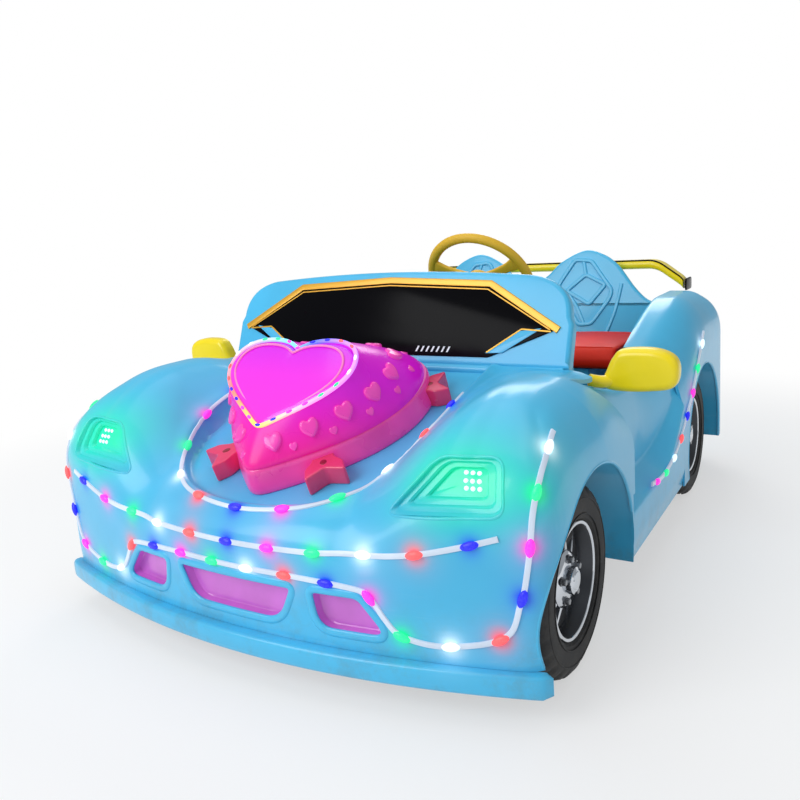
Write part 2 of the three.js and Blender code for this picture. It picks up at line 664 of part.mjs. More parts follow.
// the floor, with a toe board standing at its front edge
function floorPan() {
  const start = CLIP_END_Y + 2;
  const end = REAR_AXLE_Y - AXLE_TUBE - 12;
  const z = FLOOR_Z + GAP;
  const pan = block(2 * FLOOR_HALF, end - start, FLOOR_THICKNESS, 0, (start + end) / 2,
    z + FLOOR_THICKNESS / 2);
  const board = block(2 * COWL_HALF_WIDTH, FLOOR_THICKNESS, TOE_BOARD_TOP - z, 0, start + FLOOR_THICKNESS / 2,
    (TOE_BOARD_TOP + z) / 2);
  const arches = SIDES.map(([, side]) =>
    block(2 * (FLOOR_HALF - 465), 2 * ARCH_RADIUS + 20, 100, side * FLOOR_HALF, ARCH_REAR_Y, FLOOR_Z));
  return cut(joined([pan, board]), arches);
}

const BENCH_HALF = 350;
const CABIN_FLOOR = FLOOR_Z + GAP + FLOOR_THICKNESS;

function seatBase() {
  const height = CUSHION_TOP - CUSHION_HEIGHT - GAP - CABIN_FLOOR - GAP;
  const z = CABIN_FLOOR + GAP + height / 2;
  const depth = SEAT_BACK_Y + 2 - GAP - CUSHION_FRONT - 14;
  const y = cabinY(CUSHION_FRONT + 14 + depth / 2);
  const box = block(2 * BENCH_HALF, depth, height, 0, y, z);
  const hollow = block(2 * (BENCH_HALF - WALL), depth - 2 * WALL, height, 0, y, z - WALL);
  const axleGap = block(2 * BENCH_HALF + 20, 60, 2 * AXLE_TUBE + 24, 0, REAR_AXLE_Y, TYRE_RADIUS);
  return cut(box, [hollow, axleGap]);
}

function seatCushion() {
  const depth = SEAT_BACK_Y - CUSHION_FRONT - 10;
  const z0 = CUSHION_TOP - CUSHION_HEIGHT;
  const y0 = cabinY(CUSHION_FRONT);
  const side = polygon([[y0, z0], [y0 + depth, z0], [y0 + depth, CUSHION_TOP], [y0 + 34, CUSHION_TOP],
    [y0, CUSHION_TOP - 30]]);
  const geometry = new THREE.ExtrudeGeometry(side, { depth: 2 * CUSHION_HALF, bevelEnabled: false });
  return solidOf(geometry.rotateX(Math.PI / 2).rotateZ(Math.PI / 2).translate(-CUSHION_HALF, 0, 0));
}

// half outline of the seat back: x outwards, z upwards
const SEAT_OUTLINE = [[0, 640], [60, 655], [115, 705], [SEAT_PEAK_X, SEAT_PEAK], [262, 728], [318, 690],
  [380, 615], [425, 575], [SEAT_BACK_HALF, 560]];

function seatBack() {
  const line = new THREE.SplineCurve([...SEAT_OUTLINE.map(([x, z]) => new THREE.Vector2(-x, z)).reverse(),
    ...SEAT_OUTLINE.slice(1).map(([x, z]) => new THREE.Vector2(x, z))]).getPoints(40);
  const stretch = Math.hypot(1, SEAT_BACK_LEAN);
  const foot = CUSHION_TOP - CUSHION_HEIGHT - 60;
  const outline = new THREE.Shape(line.map((p) => new THREE.Vector2(p.x, (p.y - foot) * stretch)));
  outline.lineTo(SEAT_BACK_HALF, 0);
  outline.lineTo(-SEAT_BACK_HALF, 0);
  const place = new THREE.Matrix4().makeRotationX(-Math.atan(SEAT_BACK_LEAN));
  place.setPosition(0, cabinY(SEAT_BACK_Y) + 2, foot);
  return placed(facing(outline, 0, SEAT_BACK_THICKNESS), place);
}

// ---- rear wing ----
const WING_Y = FRONT_AXLE_Y + 1410;
const STRUT_X = 250;
const STRUT_WIDTH = 24;
const STRUT_CHORD = 60;

function rearSpoiler() {
  const top = WING_TOP;
  const outline = polygon([[-WING_HALF_WIDTH, top - WING_DROOP - WING_THICKNESS],
    [-WING_BEND_X, top - WING_THICKNESS], [WING_BEND_X, top - WING_THICKNESS],
    [WING_HALF_WIDTH, top - WING_DROOP - WING_THICKNESS], [WING_HALF_WIDTH - 8, top - WING_DROOP],
    [WING_BEND_X, top], [-WING_BEND_X, top], [-WING_HALF_WIDTH + 8, top - WING_DROOP]]);
  const blade = facing(outline, WING_Y - WING_CHORD / 2, WING_Y + WING_CHORD / 2);
  const struts = SIDES.map(([, side]) => {
    const strut = block(STRUT_WIDTH, STRUT_CHORD, 300, side * STRUT_X, WING_Y, top - WING_THICKNESS - 140);
    return strut.subtract(moulding(REAR_SKIN, -GAP, 0, ...REAR_GRID));
  });
  return joined([blade, ...struts]);
}

// ---- chassis ----
function chassisFrame() {
  const start = cabinY(-190);
  const end = cabinY(1400);
  const rails = SIDES.map(([, side]) =>
    block(RAIL_WIDTH, end - start, RAIL_HEIGHT, side * RAIL_X, (start + end) / 2, RAIL_Z));
  const crosses = [-190, 330, 800, 1270, 1400].map((y) =>
    block(2 * RAIL_X, RAIL_WIDTH, RAIL_HEIGHT - 4, 0, cabinY(y), RAIL_Z));
  const sill = RAIL_Z - RAIL_HEIGHT / 2 + 3;
  const outriggers = [330, 800].map((y) =>
    block(2 * (doorSkin(cabinY(y), sill, WALL + 2) - GAP), 30, RAIL_HEIGHT - 6, 0, cabinY(y), RAIL_Z));
  return joined([...rails, ...crosses, ...outriggers]);
}

const YOKE_HALF = 26;
const YOKE_PLATE = 8;

function frontAxleBeam() {
  const reach = KINGPIN_X - 34;
  const beam = block(2 * reach, 36, 36, 0, FRONT_AXLE_Y, TYRE_RADIUS);
  const parts = [beam];
  for (const [, side] of SIDES) {
    parts.push(block(12, 36, 2 * (YOKE_HALF + YOKE_PLATE), side * (reach - 2), FRONT_AXLE_Y, TYRE_RADIUS));
    for (const level of [-1, 1]) {
      const z = TYRE_RADIUS + level * (YOKE_HALF + YOKE_PLATE / 2);
      parts.push(block(56, 32, YOKE_PLATE, side * (KINGPIN_X - 10), FRONT_AXLE_Y, z));
    }
  }
  const bores = SIDES.map(([, side]) => rod(KINGPIN_RADIUS + 0.5, [side * KINGPIN_X, FRONT_AXLE_Y, 100],
    [side * KINGPIN_X, FRONT_AXLE_Y, 270], 24));
  return cut(joined(parts), bores);
}

const HUB_INNER_X = WHEEL_X - 18;
const STUB_END_X = WHEEL_FACE - 14;
const ARM_Y = FRONT_AXLE_Y + STEER_ARM;
const ARM_X = KINGPIN_X;
const ARM_WIDTH = 22;
const ARM_THICKNESS = 8;
const ARM_Z = TYRE_RADIUS;

function knuckle(side) {
  const pinReach = YOKE_HALF + YOKE_PLATE + 6;
  const pin = rod(KINGPIN_RADIUS, [side * KINGPIN_X, FRONT_AXLE_Y, TYRE_RADIUS - pinReach],
    [side * KINGPIN_X, FRONT_AXLE_Y, TYRE_RADIUS + pinReach], 24);
  const barrel = rod(15, [side * KINGPIN_X, FRONT_AXLE_Y, TYRE_RADIUS - YOKE_HALF + 0.5],
    [side * KINGPIN_X, FRONT_AXLE_Y, TYRE_RADIUS + YOKE_HALF - 0.5], 24);
  const stub = rod(STUB_RADIUS, [side * (KINGPIN_X + 4), FRONT_AXLE_Y, TYRE_RADIUS],
    [side * STUB_END_X, FRONT_AXLE_Y, TYRE_RADIUS], 24);
  const arm = block(ARM_WIDTH, STEER_ARM + ARM_WIDTH / 2, ARM_THICKNESS, side * ARM_X,
    FRONT_AXLE_Y + (STEER_ARM + ARM_WIDTH / 2) / 2, ARM_Z);
  const eye = rod(6, [side * ARM_X, ARM_Y, ARM_Z], [side * ARM_X, ARM_Y, ARM_Z + 26], 20);
  return joined([pin, barrel, stub, arm, eye]);
}

const TIE_Z = ARM_Z + 17;
const TIE_EYE_RADIUS = 13;
const TIE_EYE_HALF = 7;

function tieRod() {
  const bar = rod(TIE_ROD_RADIUS, [-ARM_X + 10, ARM_Y, TIE_Z], [ARM_X - 10, ARM_Y, TIE_Z]);
  const ends = SIDES.map(([, side]) => rod(TIE_EYE_RADIUS, [side * ARM_X, ARM_Y, TIE_Z - TIE_EYE_HALF],
    [side * ARM_X, ARM_Y, TIE_Z + TIE_EYE_HALF], 24));
  const bores = SIDES.map(([, side]) => rod(6.6, [side * ARM_X, ARM_Y, TIE_Z - 30],
    [side * ARM_X, ARM_Y, TIE_Z + 30], 24));
  return cut(joined([bar, ...ends]), bores);
}

function rearAxle() {
  const across = (radius, reach) => rod(radius, [-reach, REAR_AXLE_Y, TYRE_RADIUS],
    [reach, REAR_AXLE_Y, TYRE_RADIUS], 24);
  const tube = across(AXLE_TUBE, HUB_INNER_X - 8);
  const stubs = across(STUB_RADIUS, STUB_END_X);
  return joined([tube, stubs]);
}

const MOTOR_RADIUS = 45;
const MOTOR_Y = REAR_AXLE_Y + 88;
const MOTOR_Z = TYRE_RADIUS + 40;

function driveMotor() {
  const motor = rod(MOTOR_RADIUS, [-70, MOTOR_Y, MOTOR_Z], [90, MOTOR_Y, MOTOR_Z], 24);
  const gearcase = block(60, 130, 80, 0, REAR_AXLE_Y + 35, TYRE_RADIUS + 16);
  const bore = rod(AXLE_TUBE + GAP, [-200, REAR_AXLE_Y, TYRE_RADIUS], [200, REAR_AXLE_Y, TYRE_RADIUS], 24);
  return joined([motor, gearcase]).subtract(bore);
}

const BATTERY_HEADROOM = 77;
const BATTERY_AXLE_GAP = 20;

function batteryPack() {
  const [width, length] = [340, 116];
  const height = CUSHION_TOP - CUSHION_HEIGHT - CABIN_FLOOR - BATTERY_HEADROOM;
  const y = REAR_AXLE_Y - AXLE_TUBE - BATTERY_AXLE_GAP - length / 2;
  return block(width, length, height, 0, y, CABIN_FLOOR + GAP + height / 2);
}

// ---- wheels: turned about the axle line ----
const WHEEL_SEGMENTS = 28;

function turned(profile, segments) {
  const points = [...profile, profile[0]].map(([r, x]) => new THREE.Vector2(r, x));
  return solidOf(new THREE.LatheGeometry(points, segments).rotateZ(-Math.PI / 2));
}

function tyre() {
  const w = TYRE_WIDTH / 2;
  const [inner, outer] = [RIM_RADIUS + GAP, TYRE_RADIUS];
  return turned([[inner, -w + 10], [inner + 18, -w], [outer - 24, -w], [outer - 8, -w + 9], [outer, -w + 22],
    [outer, w - 22], [outer - 8, w - 9], [outer - 24, w], [inner + 18, w], [inner, w - 10]], WHEEL_SEGMENTS);
}

// the rim with its dished disc, hub and cap; the outer face is towards +X
function rim() {
  const w = TYRE_WIDTH / 2 - 9;
  const bore = STUB_RADIUS + 1;
  return turned([[RIM_RADIUS, -w], [RIM_RADIUS, w], [RIM_RADIUS - 14, w], [RIM_RADIUS - 20, 4], [60, -2],
    [52, 16], [34, 20], [30, 36], [bore, 36], [bore, -18], [46, -18], [RIM_RADIUS - 24, -8], [RIM_RADIUS - 8, -w]],
  WHEEL_SEGMENTS);
}

const WHEELS = [['front', FRONT_AXLE_Y], ['rear', REAR_AXLE_Y]];

// ---- steering wheel and its column ----
const steeringPlace = new THREE.Matrix4().makeRotationX(-degToRad(90 - STEERING_RAKE));
steeringPlace.setPosition(STEERING_X, FRONT_AXLE_Y + STEERING_Y, STEERING_Z);
const SHAFT_RADIUS = 9;
const COLUMN_RADIUS = 20;
const COLUMN_LENGTH = 205;
const HUB_RADIUS = 34;

// drawn flat: the driver's side is +Z and the bottom spoke is along +Y
function steeringWheel() {
  const ring = solidOf(new THREE.TorusGeometry(STEERING_RADIUS, STEERING_TUBE, 8, 32));
  const hub = rod(HUB_RADIUS, [0, 0, -26], [0, 0, 4], 24);
  const shaft = rod(SHAFT_RADIUS, [0, 0, -90], [0, 0, -20], 16);
  const parts = [ring, hub, shaft];
  for (const angle of [90, -25, -155]) {
    const reach = STEERING_RADIUS - STEERING_TUBE / 2;
    const end = [reach * Math.cos(degToRad(angle)), reach * Math.sin(degToRad(angle))];
    parts.push(upright(band([[0, 0], [end[0] / 2, end[1] / 2], end], 30), -9, 1));
  }
  return placed(joined(parts), steeringPlace);
}

function steeringColumn() {
  const tube = rod(COLUMN_RADIUS, [0, 0, -COLUMN_LENGTH], [0, 0, -34], 20);
  const bore = rod(SHAFT_RADIUS + 1, [0, 0, -110], [0, 0, 0], 16);
  return placed(tube.subtract(bore), steeringPlace).subtract(dashboard(GAP));
}

// ---- mirrors and pedal ----
const MIRROR_X = 652;
const MIRROR_Y = 362;
const MIRROR_Z = 524;

function mirror(side) {
  const pod = solidOf(new THREE.SphereGeometry(1, 14, 8).scale(78, 26, 50)
    .translate(side * MIRROR_X, FRONT_AXLE_Y + MIRROR_Y, MIRROR_Z));
  const [rootY, rootZ] = [FRONT_AXLE_Y + MIRROR_Y - 20, MIRROR_Z - 32];
  const root = [side * (doorSkin(rootY, rootZ, 0) - 3), rootY, rootZ];
  const stalk = rod(14, root, [side * (MIRROR_X - 45), FRONT_AXLE_Y + MIRROR_Y, MIRROR_Z - 12], 14);
  return joined([pod, stalk]).subtract(doorPanel(side, GAP));
}

function footPedal() {
  const plate = polygon([[0, 0], [95, 60], [91, 66], [-8, 6], [-8, 0]]);
  const geometry = new THREE.ExtrudeGeometry(plate, { depth: 70, bevelEnabled: false });
  geometry.rotateX(Math.PI / 2).rotateZ(Math.PI / 2).rotateZ(Math.PI);
  return solidOf(geometry.translate(STEERING_X + 75, cabinY(470), CABIN_FLOOR + GAP));
}

// ---- the assembled car ----
const car = new THREE.Group();

function addPiece(name, solid, material, parent = car) {
  const mesh = new THREE.Mesh(geometryOf(solid), material);
  mesh.name = name;
  parent.add(mesh);
}

addPiece('front_body_shell', frontBodyShell(), BODY_BLUE);
addPiece('front_lip', frontLip(), BODY_BLUE);
addPiece('grille_panel', grillePanel(), PURPLE);
addPiece('windscreen_cowl', windscreenCowl(), BODY_BLUE);
addPiece('windscreen_panel', windscreenPanel(), BLACK_GLOSS);
addPiece('windscreen_trim', windscreenTrim(), GOLD);
addPiece('dashboard', dashboard(), BODY_BLUE);
addPiece('heart_lamp_base', heartLampBase(), HEART_PINK);
addPiece('heart_lamp_dome', heartLampDome(), HEART_VIOLET);
addPiece('hood_light_strip', hoodLightStrip(), STRIP_WHITE);
addPiece('nose_light_strip', noseStrip(NOSE_STRIP), STRIP_WHITE);
addPiece('bumper_light_strip', noseStrip(BUMPER_STRIP), STRIP_WHITE);
addPiece('rear_body_shell', rearBodyShell(), BODY_BLUE);
addPiece('floor_pan', floorPan(), FRAME_BLACK);
addPiece('seat_base', seatBase(), BODY_BLUE);
addPiece('seat_cushion', seatCushion(), CUSHION_RED);
addPiece('seat_back', seatBack(), BODY_BLUE);
addPiece('rear_spoiler', rearSpoiler(), YELLOW);
addPiece('chassis_frame', chassisFrame(), FRAME_BLACK);
addPiece('front_axle_beam', frontAxleBeam(), FRAME_BLACK);
addPiece('rear_axle', rearAxle(), STEEL);
addPiece('drive_motor', driveMotor(), FRAME_BLACK);
addPiece('battery_pack', batteryPack(), FRAME_BLACK);
addPiece('tie_rod', tieRod(), STEEL);
addPiece('steering_column', steeringColumn(), FRAME_BLACK);
addPiece('steering_wheel', steeringWheel(), STEERING_YELLOW);
addPiece('foot_pedal', footPedal(), RUBBER);

for (const [name, side] of SIDES) {
  addPiece(`headlight_${name}`, headlight(side), LAMP_GREEN);
  addPiece(`door_panel_${name}`, doorPanel(side), BODY_BLUE);
  addPiece(`rear_light_strip_${name}`, haunchStrip(side), STRIP_WHITE);
  addPiece(`mirror_${name}`, mirror(side), YELLOW);
  addPiece(`knuckle_${name}`, knuckle(side), STEEL);
  for (const [end, y] of WHEELS) {
    const wheel = new THREE.Group();
    wheel.position.set(side * WHEEL_X, y, TYRE_RADIUS);
    wheel.rotation.z = side > 0 ? 0 : Math.PI;
    car.add(wheel);
    addPiece(`tyre_${end}_${name}`, tyre(), RUBBER, wheel);
    addPiece(`rim_${end}_${name}`, rim(), CHROME, wheel);
  }
}

export default car;
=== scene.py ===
import math

import bmesh
import bpy
import numpy as np
from mathutils import Matrix, Vector
from mathutils.bvhtree import BVHTree


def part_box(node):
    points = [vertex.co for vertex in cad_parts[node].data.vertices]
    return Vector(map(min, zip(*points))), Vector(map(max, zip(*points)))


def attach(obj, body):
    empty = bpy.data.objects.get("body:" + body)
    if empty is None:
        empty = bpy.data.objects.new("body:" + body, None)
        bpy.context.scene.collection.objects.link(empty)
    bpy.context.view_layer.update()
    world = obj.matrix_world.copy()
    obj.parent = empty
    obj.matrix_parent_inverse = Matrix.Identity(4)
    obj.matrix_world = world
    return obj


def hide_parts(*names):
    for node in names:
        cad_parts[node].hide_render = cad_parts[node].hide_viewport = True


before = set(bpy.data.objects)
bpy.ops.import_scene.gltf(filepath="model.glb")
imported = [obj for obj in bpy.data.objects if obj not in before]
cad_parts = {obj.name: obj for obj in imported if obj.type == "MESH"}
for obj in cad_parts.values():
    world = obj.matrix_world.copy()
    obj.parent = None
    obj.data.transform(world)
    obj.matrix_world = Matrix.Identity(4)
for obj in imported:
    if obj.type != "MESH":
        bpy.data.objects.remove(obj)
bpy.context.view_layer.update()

SCENE = bpy.context.scene
SIDES = (("left", 1), ("right", -1))
WHEELS = (("front", -0.590), ("rear", 0.456))

# ---- camera: in front of the car's left corner, slightly above the fenders ----
CAMERA_PLACE = Vector((1.088, -1.885, 0.871))
CAMERA_AZIMUTH, CAMERA_ELEVATION, CAMERA_ROLL = 30.59, 10.86, -3.89
CAMERA_LENS, CAMERA_SENSOR, CAMERA_SHIFT = 34.55, 36, (-0.0379, -0.0371)


def linked(name, data):
    """A new object, in the scene."""
    made = bpy.data.objects.new(name, data)
    SCENE.collection.objects.link(made)
    return made


def make_camera():
    turn, lift, roll = (math.radians(a) for a in (CAMERA_AZIMUTH, CAMERA_ELEVATION, CAMERA_ROLL))
    back = Vector((math.sin(turn) * math.cos(lift), -math.cos(turn) * math.cos(lift), math.sin(lift)))
    right = (-back).cross(Vector((0, 0, 1))).normalized()
    up = right.cross(-back)
    tipped_right = math.cos(roll) * right + math.sin(roll) * up
    tipped_up = math.cos(roll) * up - math.sin(roll) * right
    data = bpy.data.cameras.new("camera")
    data.lens, data.sensor_width = CAMERA_LENS, CAMERA_SENSOR
    data.shift_x, data.shift_y = CAMERA_SHIFT
    camera = linked("camera", data)
    camera.matrix_world = Matrix((tipped_right, tipped_up, back)).transposed().to_4x4()
    camera.matrix_world.translation = CAMERA_PLACE
    SCENE.camera = camera


make_camera()


# ---- finishes: sums on sockets become Math nodes ----
class Socket:
    """One output of a finish's nodes."""

    def __init__(self, finish, socket):
        self.finish, self.socket = finish, socket

    def maths(self, operation, *values):
        return self.finish.node("ShaderNodeMath", {"operation": operation}, values)

    def __add__(self, other):
        return self.maths("ADD", self, other)

    def __sub__(self, other):
        return self.maths("SUBTRACT", self, other)

    def __rsub__(self, other):
        return self.maths("SUBTRACT", other, self)

    def __mul__(self, other):
        return self.maths("MULTIPLY", self, other)

    def least(self, other):
        return self.maths("MINIMUM", self, other)

    def eased(self, low, high):
        """0 at low, 1 at high, smooth between."""
        return self.finish.node("ShaderNodeMapRange", {"interpolation_type": "SMOOTHSTEP"}, (self, low, high))

    __radd__ = __add__
    __rmul__ = __mul__


class Finish:
    """A material built around one principled shader."""

    def __init__(self, name):
        self.material = bpy.data.materials.new(name)
        self.material.use_nodes = True
        self.tree = self.material.node_tree
        self.tree.nodes.clear()
        self.place = self.node("ShaderNodeTexCoord", out="Object")

    def node(self, kind, settings=None, inputs=(), out=0):
        made = self.tree.nodes.new(kind)
        for key, value in (settings or {}).items():
            if key == "stops":
                while len(made.color_ramp.elements) < len(value):
                    made.color_ramp.elements.new(0.5)
                for element, (position, colour) in zip(made.color_ramp.elements, value):
                    element.position, element.color = position, colour
            else:
                setattr(made, key, value)
        for key, value in inputs.items() if isinstance(inputs, dict) else enumerate(inputs):
            if isinstance(value, Socket):
                self.tree.links.new(value.socket, made.inputs[key])
            else:
                made.inputs[key].default_value = value
        return Socket(self, made.outputs[out]) if made.outputs else None

    def noise(self, scale, detail=3, roughness=0.55):
        return self.node("ShaderNodeTexNoise", None,
                         {"Vector": self.place, "Scale": scale, "Detail": detail, "Roughness": roughness})

    def cells(self, scale, feature="F1"):
        return self.node("ShaderNodeTexVoronoi", {"feature": feature}, {"Vector": self.place, "Scale": scale})

    def axis(self, letter):
        return self.node("ShaderNodeSeparateXYZ", None, {"Vector": self.place}, out=letter)

    def mix(self, share, first, second, blend="MIX"):
        return self.node("ShaderNodeMix", {"data_type": "RGBA", "blend_type": blend},
                         {0: share, 6: first, 7: second}, out=2)

    def bump(self, height, strength, distance=0.001):
        return self.node("ShaderNodeBump", None, {"Height": height, "Strength": strength, "Distance": distance})

    def attribute(self, name, out="Color"):
        return self.node("ShaderNodeAttribute", {"attribute_name": name}, out=out)

    def finished(self, **sockets):
        inputs = {key.replace("_", " "): value for key, value in sockets.items()}
        shader = self.node("ShaderNodeBsdfPrincipled", None, inputs)
        return self.shown(shader)

    def shown(self, shader):
        self.node("ShaderNodeOutputMaterial", None, {"Surface": shader})
        return self.material


def rgb(red, green, blue):
    """A screen colour, 0 to 255, as the light it stands for."""
    def light(v):
        v /= 255
        return v / 12.92 if v <= 0.04045 else ((v + 0.055) / 1.055) ** 2.4
    return (light(red), light(green), light(blue), 1.0)


def shade(colour, share):
    return tuple(c * share for c in colour[:3]) + (1.0,)


def fibreglass(name, colour, low_dirt=True, glow=False):
    """Glossy gelcoat: slow tone changes, faint dust low down, hairline scuffs and a slight orange peel; with glow,
    the lamps' light on the skin is painted into it as colour and emission.
    """
    f = Finish(name)
    tone = f.mix(f.noise(3.2, 4).eased(0.35, 0.7), shade(colour, 0.95), shade(colour, 1.04))
    scuff = f.node("ShaderNodeTexNoise", None, {
        "Vector": f.node("ShaderNodeMapping", None, {"Vector": f.place, "Scale": (3, 26, 60)}),
        "Scale": 1.4, "Detail": 3, "Roughness": 0.6}).eased(0.60, 0.80) * (1 - f.axis("Z").eased(0.12, 0.30))
    base = f.mix(scuff * 0.12, tone, rgb(200, 228, 244))
    if low_dirt:
        dirt = (1 - f.axis("Z").eased(0.07, 0.26)) * f.noise(14, 5, 0.7).eased(0.42, 0.72)
        base = f.mix(dirt * 0.3, base, rgb(104, 116, 120))
    extra = {}
    # painted light: the lamps' colour kept in the glow attribute is painted into the base colour and shines as
    # emission
    if glow:
        share = f.attribute("glow", "Alpha")
        base = f.mix(share * 0.85, base, f.attribute("glow"))
        extra = {"Emission_Color": f.mix(share, (0, 0, 0, 1), f.attribute("glow")), "Emission_Strength": 0.36}
    return f.finished(Base_Color=base, Roughness=0.27 + f.noise(40, 3) * 0.08 + scuff * 0.1, Coat_Weight=0.3,
                      Coat_Roughness=0.12, IOR=1.5, Specular_IOR_Level=0.35,
                      Normal=f.bump(f.noise(260, 2), 0.05, 0.0006), **extra)


def gloss(name, colour, roughness=0.12, spread=0.05, bump=0.04, scale=60, coat=0.3, **more):
    """Moulded gloss plastic with a little mottling and finger marks."""
    f = Finish(name)
    mottle = f.noise(scale / 8, 4)
    base = f.mix(mottle.eased(0.3, 0.75), shade(colour, 0.95), shade(colour, 1.03))
    return f.finished(Base_Color=base, Roughness=roughness + f.noise(18, 5, 0.7) * spread * 2, Coat_Weight=coat,
                      Normal=f.bump(f.noise(scale * 5, 2), bump, 0.0006), **more)


def metal(name, colour, roughness=0.3, brushed=0.0, rust=0.0):
    f = Finish(name)
    streak = f.node("ShaderNodeTexNoise", None, {
        "Vector": f.node("ShaderNodeMapping", None, {"Vector": f.place, "Scale": (4, 60, 60)}),
        "Scale": 10.0, "Detail": 4})
    spot = f.noise(46, 6, 0.75).eased(0.62, 0.76) * rust
    base = f.mix(spot, f.mix(streak, shade(colour, 0.86), colour), rgb(120, 78, 52))
    return f.finished(Base_Color=base, Metallic=1 - spot * 0.8, Roughness=roughness + streak * brushed + spot * 0.4,
                      Normal=f.bump(streak, 0.05, 0.0005))


def painted(name, colour, roughness=0.45):
    """Painted steel tube and sheet: semi-gloss with chips and dust."""
    f = Finish(name)
    chip = f.cells(90).eased(0.10, 0.06) * f.noise(9, 3).eased(0.55, 0.7)
    dust = f.noise(11, 5, 0.7).eased(0.45, 0.75)
    base = f.mix(chip, f.mix(dust * 0.25, colour, rgb(116, 112, 104)), rgb(134, 130, 124))
    return f.finished(Base_Color=base, Metallic=chip * 0.6, Roughness=roughness + dust * 0.2,
                      Normal=f.bump(f.noise(180, 3) - chip * 0.6, 0.12, 0.0008))


def rubber(name, colour, roughness=0.75):
    f = Finish(name)
    dust = f.noise(13, 5, 0.7).eased(0.4, 0.8)
    base = f.mix(dust * 0.35, colour, rgb(112, 108, 102))
    return f.finished(Base_Color=base, Roughness=roughness + dust * 0.15, Specular_IOR_Level=0.35,
                      Normal=f.bump(f.noise(420, 3), 0.25, 0.0007))


def vinyl(name, colour):
    """Upholstery vinyl: pebbled grain, a slow tone change and shine where it is sat on."""
    f = Finish(name)
    grain = f.cells(330, "SMOOTH_F1") * 0.7 + f.noise(120, 4) * 0.5
    tone = f.mix(f.noise(7, 4).eased(0.3, 0.72), shade(colour, 0.9), shade(colour, 1.06))
    worn = f.noise(4, 3).eased(0.45, 0.7)
    return f.finished(Base_Color=tone, Roughness=0.48 - worn * 0.1, Specular_IOR_Level=0.22,
                      Normal=f.bump(grain, 0.22, 0.0012))


def lit(name, colour, light, strength, roughness=0.3):
    """Moulded plastic that is lit from behind, brighter in slow patches."""
    f = Finish(name)
    patch = f.noise(9, 3).eased(0.25, 0.8)
    return f.finished(Base_Color=f.mix(patch, shade(colour, 0.85), colour), Roughness=roughness + patch * 0.08,
                      Coat_Weight=0.4, Coat_Roughness=0.1, Emission_Color=f.mix(patch, shade(light, 0.7), light),
                      Emission_Strength=strength, Normal=f.bump(f.noise(150, 2), 0.05, 0.0008))


def lamp_capsules():
    """Clear capsules, each lit in the colour stored on its own copy."""
    f = Finish("lamp_capsules")
    colour = f.attribute("lamp_colour")
    core = f.noise(300, 2)
    return f.finished(Base_Color=f.mix(core * 0.1, colour, rgb(240, 240, 245)), Roughness=0.2 + core * 0.1,
                      Specular_IOR_Level=0.3, Emission_Color=colour, Emission_Strength=0.75,
                      Normal=f.bump(core, 0.04, 0.0004))


def heart_wall():
    """Lit plastic that turns from pink at its foot to violet at its crown."""
    f = Finish("heart_side")
    climb = f.axis("Z").eased(0.40, 0.57)
    patch = f.noise(7, 3).eased(0.3, 0.8)
    colour = f.mix(climb, rgb(236, 36, 142), rgb(220, 24, 204))
    return f.finished(Base_Color=f.mix(patch * 0.15, colour, rgb(160, 16, 170)), Roughness=0.24 + patch * 0.06,
                      Specular_IOR_Level=0.3, Emission_Color=colour, Emission_Strength=0.22,
                      Normal=f.bump(f.noise(150, 2), 0.05, 0.0008))


def heart_crown():
    """Lit plastic, pink towards the nose and violet towards the windscreen."""
    f = Finish("heart_top")
    back = f.axis("Y").eased(-0.72, -0.50)
    colour = f.mix(back, rgb(244, 48, 214), rgb(164, 12, 232))
    soft = f.noise(6, 2).eased(0.3, 0.8)
    return f.finished(Base_Color=f.mix(soft * 0.2, colour, rgb(214, 40, 236)), Roughness=0.16 + soft * 0.06,
                      Coat_Weight=0.3, Coat_Roughness=0.1, Emission_Color=colour, Emission_Strength=0.2,
                      Normal=f.bump(f.noise(120, 2), 0.05, 0.0008))


